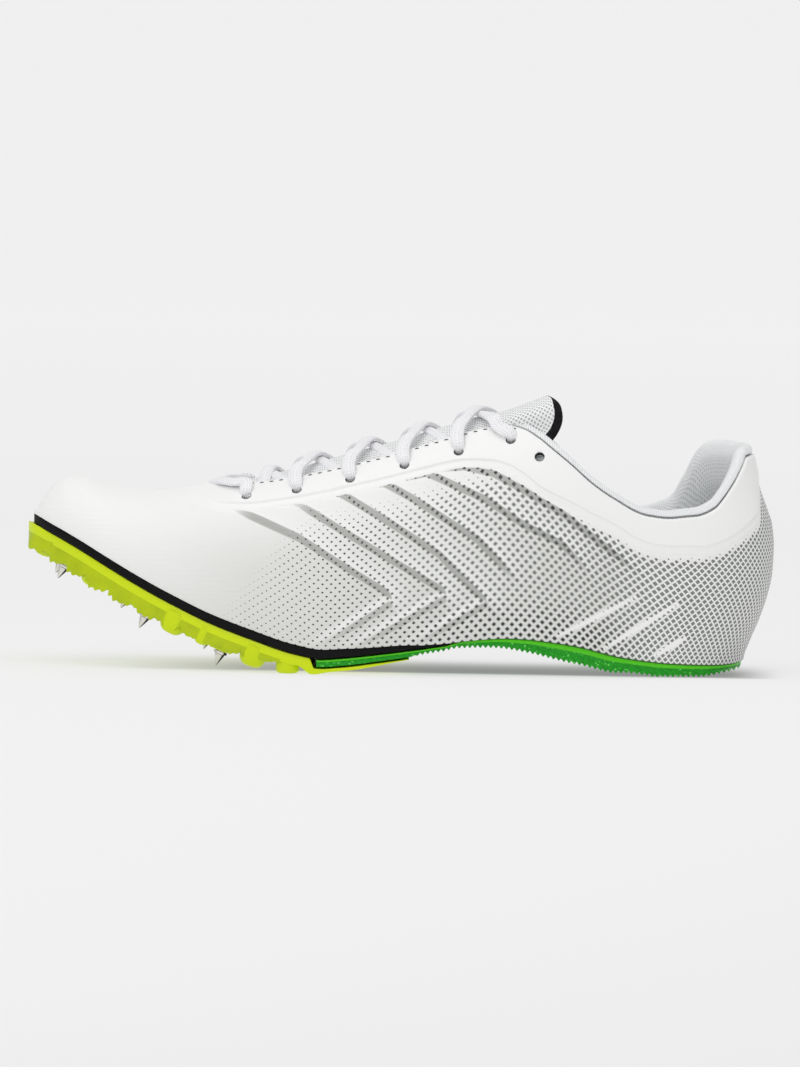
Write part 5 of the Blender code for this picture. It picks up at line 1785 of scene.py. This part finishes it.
@dataclass(frozen=True)
class Moulded(Finish):
    """A moulded plastic, foam or rubber: cloudy in colour, with a fine tooled grain."""

    second: str = "#ffffff"
    cloud: float = 6 * MM
    grain: float = 0.7 * MM
    depth: float = 0.1 * MM
    faceted: bool = False
    # Colour of a painted highlight, mixed in by the attribute rim
    rim: str = ""
    # Colour of painted glints
    glint: str = ""

    def dress(self, tree: bpy.types.NodeTree, shader: bpy.types.Node) -> None:
        """Clouds the colour between two tones and bumps the surface with grain or facets."""
        place = add_node(tree, "TexCoord").outputs["Object"]
        clouds = add_node(tree, "TexNoise", {"Vector": place, "Scale": 1 / self.cloud, "Detail": 3.0})
        soft = add_node(tree, "MapRange", {"Value": clouds.outputs["Fac"], "From Min": 0.35, "From Max": 0.7})
        share = soft.outputs[0]
        if self.faceted:
            facets = add_node(tree, "TexVoronoi", {"Vector": place, "Scale": 1 / self.grain}, feature="F1")
            share = facets.outputs["Color"]
            height = facets.outputs["Distance"]
        else:
            height = add_node(tree, "TexNoise", {"Vector": place, "Scale": 1 / self.grain}).outputs["Fac"]
        mix = add_node(
            tree, "MixRGB", {"Fac": share, "Color1": linear(self.colour), "Color2": linear(self.second)}
        )
        colour = mix.outputs[0]
        # Painted glints on the brightest facets
        if self.glint:
            rare = add_node(tree, "MapRange", {"Value": share, "From Min": 0.84, "From Max": 0.87})
            spark = add_node(tree, "MixRGB", {"Fac": rare.outputs[0], "Color1": colour, "Color2": linear(self.glint)})
            colour = spark.outputs[0]
        # Painted highlight, by the attribute rim
        if self.rim:
            edge = add_node(tree, "Attribute", attribute_name="rim").outputs["Fac"]
            lit = add_node(tree, "MixRGB", {"Fac": edge, "Color1": colour, "Color2": linear(self.rim)})
            colour = lit.outputs[0]
        tree.links.new(colour, shader.inputs["Base Color"])
        bump = add_node(tree, "Bump", {"Height": height, "Strength": 0.6, "Distance": self.depth})
        tree.links.new(bump.outputs["Normal"], shader.inputs["Normal"])


@dataclass(frozen=True)
class GroundSteel(Finish):
    """Steel ground to six flat faces, whose painted reflection makes them light and dark by turns.

    It gives the eye the hard contrast of a polished point: a painted reflection makes the faces
    that look back and down dark, the others bright.
    """

    # Colour of the painted dark reflection
    dark: str = "#2a2a2b"

    def dress(self, tree: bpy.types.NodeTree, shader: bpy.types.Node) -> None:
        """Mixes a dark tone in by where each flat face looks, as a painted reflection."""
        facing = add_node(tree, "NewGeometry").outputs["True Normal"]
        lean = add_node(tree, "VectorMath", {0: facing, 1: (0.9, -0.35, -0.1)}, operation="DOT_PRODUCT")
        share = add_node(tree, "MapRange", {"Value": lean.outputs["Value"], "From Min": 0.38, "From Max": 0.46})
        mix = add_node(
            tree, "MixRGB", {"Fac": share.outputs[0], "Color1": linear(self.colour), "Color2": linear(self.dark)}
        )
        tree.links.new(mix.outputs[0], shader.inputs["Base Color"])


@dataclass(frozen=True)
class Woven(Finish):
    """A cloth drawn on the piece's own cells: threads at a pitch, with darker gaps between."""

    gap_colour: str = "#9aa4ae"
    pitch: tuple[float, float] = (1.0, 1.0)
    hole: float = 0.28
    depth: float = 0.25 * MM

    def dress(self, tree: bpy.types.NodeTree, shader: bpy.types.Node) -> None:
        """Sets a round gap in each cell of a staggered lattice, dark and sunken."""
        cells = add_node(tree, "Attribute", attribute_name="cells").outputs["Vector"]
        scaled = add_node(
            tree, "VectorMath", {0: cells, 1: (1 / self.pitch[0], 1 / self.pitch[1], 0.0)}, operation="MULTIPLY"
        )
        gaps = []
        for offset in ((0.0, 0.0, 0.0), (0.5, 0.5, 0.0)):
            moved = add_node(tree, "VectorMath", {0: scaled.outputs[0], 1: offset}, operation="ADD")
            part = add_node(tree, "VectorMath", {0: moved.outputs[0]}, operation="FRACTION")
            gap = add_node(tree, "VectorMath", {0: part.outputs[0], 1: (0.5, 0.5, 0.0)}, operation="DISTANCE")
            gaps.append(gap.outputs["Value"])
        nearest = add_node(tree, "Math", {0: gaps[0], 1: gaps[1]}, operation="MINIMUM")
        solid = add_node(
            tree, "MapRange", {"Value": nearest.outputs[0], "From Min": self.hole * 0.55, "From Max": self.hole}
        )
        mix = add_node(
            tree,
            "MixRGB",
            {"Fac": solid.outputs[0], "Color1": linear(self.gap_colour), "Color2": linear(self.colour)},
        )
        tree.links.new(mix.outputs[0], shader.inputs["Base Color"])
        bump = add_node(tree, "Bump", {"Height": solid.outputs[0], "Strength": 0.8, "Distance": self.depth})
        tree.links.new(bump.outputs["Normal"], shader.inputs["Normal"])


@dataclass(frozen=True)
class BraidedLace(Finish):
    """Flat polyester braid: two rows of slanting plaits that meet at the middle, as herringbone.

    It gives the eye a soft white ribbon with fine ribs. The plaits are 0.9 mm apart.
    """

    plait: float = 0.9
    groove: str = "#dfdfea"

    def dress(self, tree: bpy.types.NodeTree, shader: bpy.types.Node) -> None:
        """Waves that slant one way on each half of the ribbon."""
        cells = add_node(tree, "Attribute", attribute_name="cells").outputs["Vector"]
        parts = add_node(tree, "SeparateXYZ", {0: cells})
        turn = add_node(tree, "Math", {0: parts.outputs["Y"], 1: math.pi}, operation="MULTIPLY")
        across = add_node(tree, "Math", {0: turn.outputs[0]}, operation="COSINE")
        slant = add_node(tree, "Math", {0: across.outputs[0]}, operation="ABSOLUTE")
        phase = add_node(
            tree, "Math", {0: slant.outputs[0], 1: 2.2, 2: parts.outputs["X"]}, operation="MULTIPLY_ADD"
        )
        angle = add_node(tree, "Math", {0: phase.outputs[0], 1: 2 * math.pi / self.plait}, operation="MULTIPLY")
        wave = add_node(tree, "Math", {0: angle.outputs[0]}, operation="SINE")
        ribs = add_node(tree, "Math", {0: across.outputs[0], 1: 5 * math.pi}, operation="MULTIPLY")
        rib = add_node(tree, "Math", {0: ribs.outputs[0]}, operation="COSINE")
        height = add_node(tree, "Math", {0: rib.outputs[0], 1: 0.6, 2: wave.outputs[0]}, operation="MULTIPLY_ADD")
        tone = add_node(tree, "MapRange", {"Value": height.outputs[0], "From Min": -1.6, "From Max": 0.2})
        mix = add_node(
            tree, "MixRGB", {"Fac": tone.outputs[0], "Color1": linear(self.groove), "Color2": linear(self.colour)}
        )
        tree.links.new(mix.outputs[0], shader.inputs["Base Color"])
        bump = add_node(tree, "Bump", {"Height": height.outputs[0], "Strength": 0.5, "Distance": 0.12 * MM})
        tree.links.new(bump.outputs["Normal"], shader.inputs["Normal"])


FINISHES = {
    # Satin film over white mesh
    "upper": FilmOnMesh("film_pressed_mesh", "#f8f8f7", 0.5),
    # Black EVA foam, matt with a faint skin
    "foam": Moulded(
        "black_eva_foam", "#050506", 0.6, second="#0c0c0f", grain=0.8 * MM, depth=0.06 * MM, specular=0.15
    ),
    # Glossy moulded nylon with depth in its colour, and a painted highlight on the slab, lugs and bosses
    "plate": Moulded(
        "lime_moulded_nylon", "#b2c604", 0.36, ior=1.53, second="#9fb406", cloud=7 * MM, rim="#d4e80a", specular=0.25
    ),
    # Translucent green rubber, with painted glints on its moulded facets and a painted highlight along its top edges
    "rubber": Moulded(
        "green_moulded_rubber", "#06840c", 0.3, second="#1fb01c", grain=0.6 * MM, depth=0.25 * MM, faceted=True,
        rim="#55d016", glint="#6cd85a", specular=0.3,
    ),
    # Turned steel, bright and lightly brushed, with a painted dark reflection on some faces
    "steel": GroundSteel("ground_steel", "#e3e1da", 0.16, metallic=1.0),
    # Brushed cloth on the insole
    "insole": Moulded("brushed_insole_cloth", "#c9ccce", 0.9, second="#b9bdc0", grain=0.5 * MM, sheen=0.2),
    # Open spacer mesh of the tongue
    "mesh": Woven(
        "open_spacer_mesh", "#fbfbfb", 0.8, gap_colour="#b4b9bc", pitch=(0.0018, 0.0018), hole=0.25, sheen=0.2
    ),
    # Black woven tape
    "tape": Moulded(
        "black_woven_tape", "#0d0d0f", 0.8, second="#1c1c20", cloud=1.2 * MM, grain=0.4 * MM, specular=0.2
    ),
    # Brushed knit over foam padding
    "lining": Woven(
        "padded_collar_knit", "#feffff", 0.85, gap_colour="#d3dde8", pitch=(0.0019, 0.0014), hole=0.2, sheen=0.5
    ),
    "lace": BraidedLace("flat_braided_lace", "#ffffff", 0.75, sheen=0.3),
    # Grey polyester thread
    "thread": Finish("grey_polyester_thread", "#565c58", 0.6),
}


def main() -> None:
    """Builds the shoe's looks piece by piece."""
    logging.basicConfig(level=logging.INFO, format="%(message)s")
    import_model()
    Camera().build()
    Studio().build()
    shop = Workshop({name: finish.build() for name, finish in FINISHES.items()})
    last = Last()
    upper = Upper(last)
    upper.build(shop)
    Sole(last).build(shop)
    Tongue(last).build(shop)
    Collar(last).build(shop)
    Lace(last, upper).build(shop)
    Stitches(last, upper).build(shop)


if __name__ == "__main__":
    main()
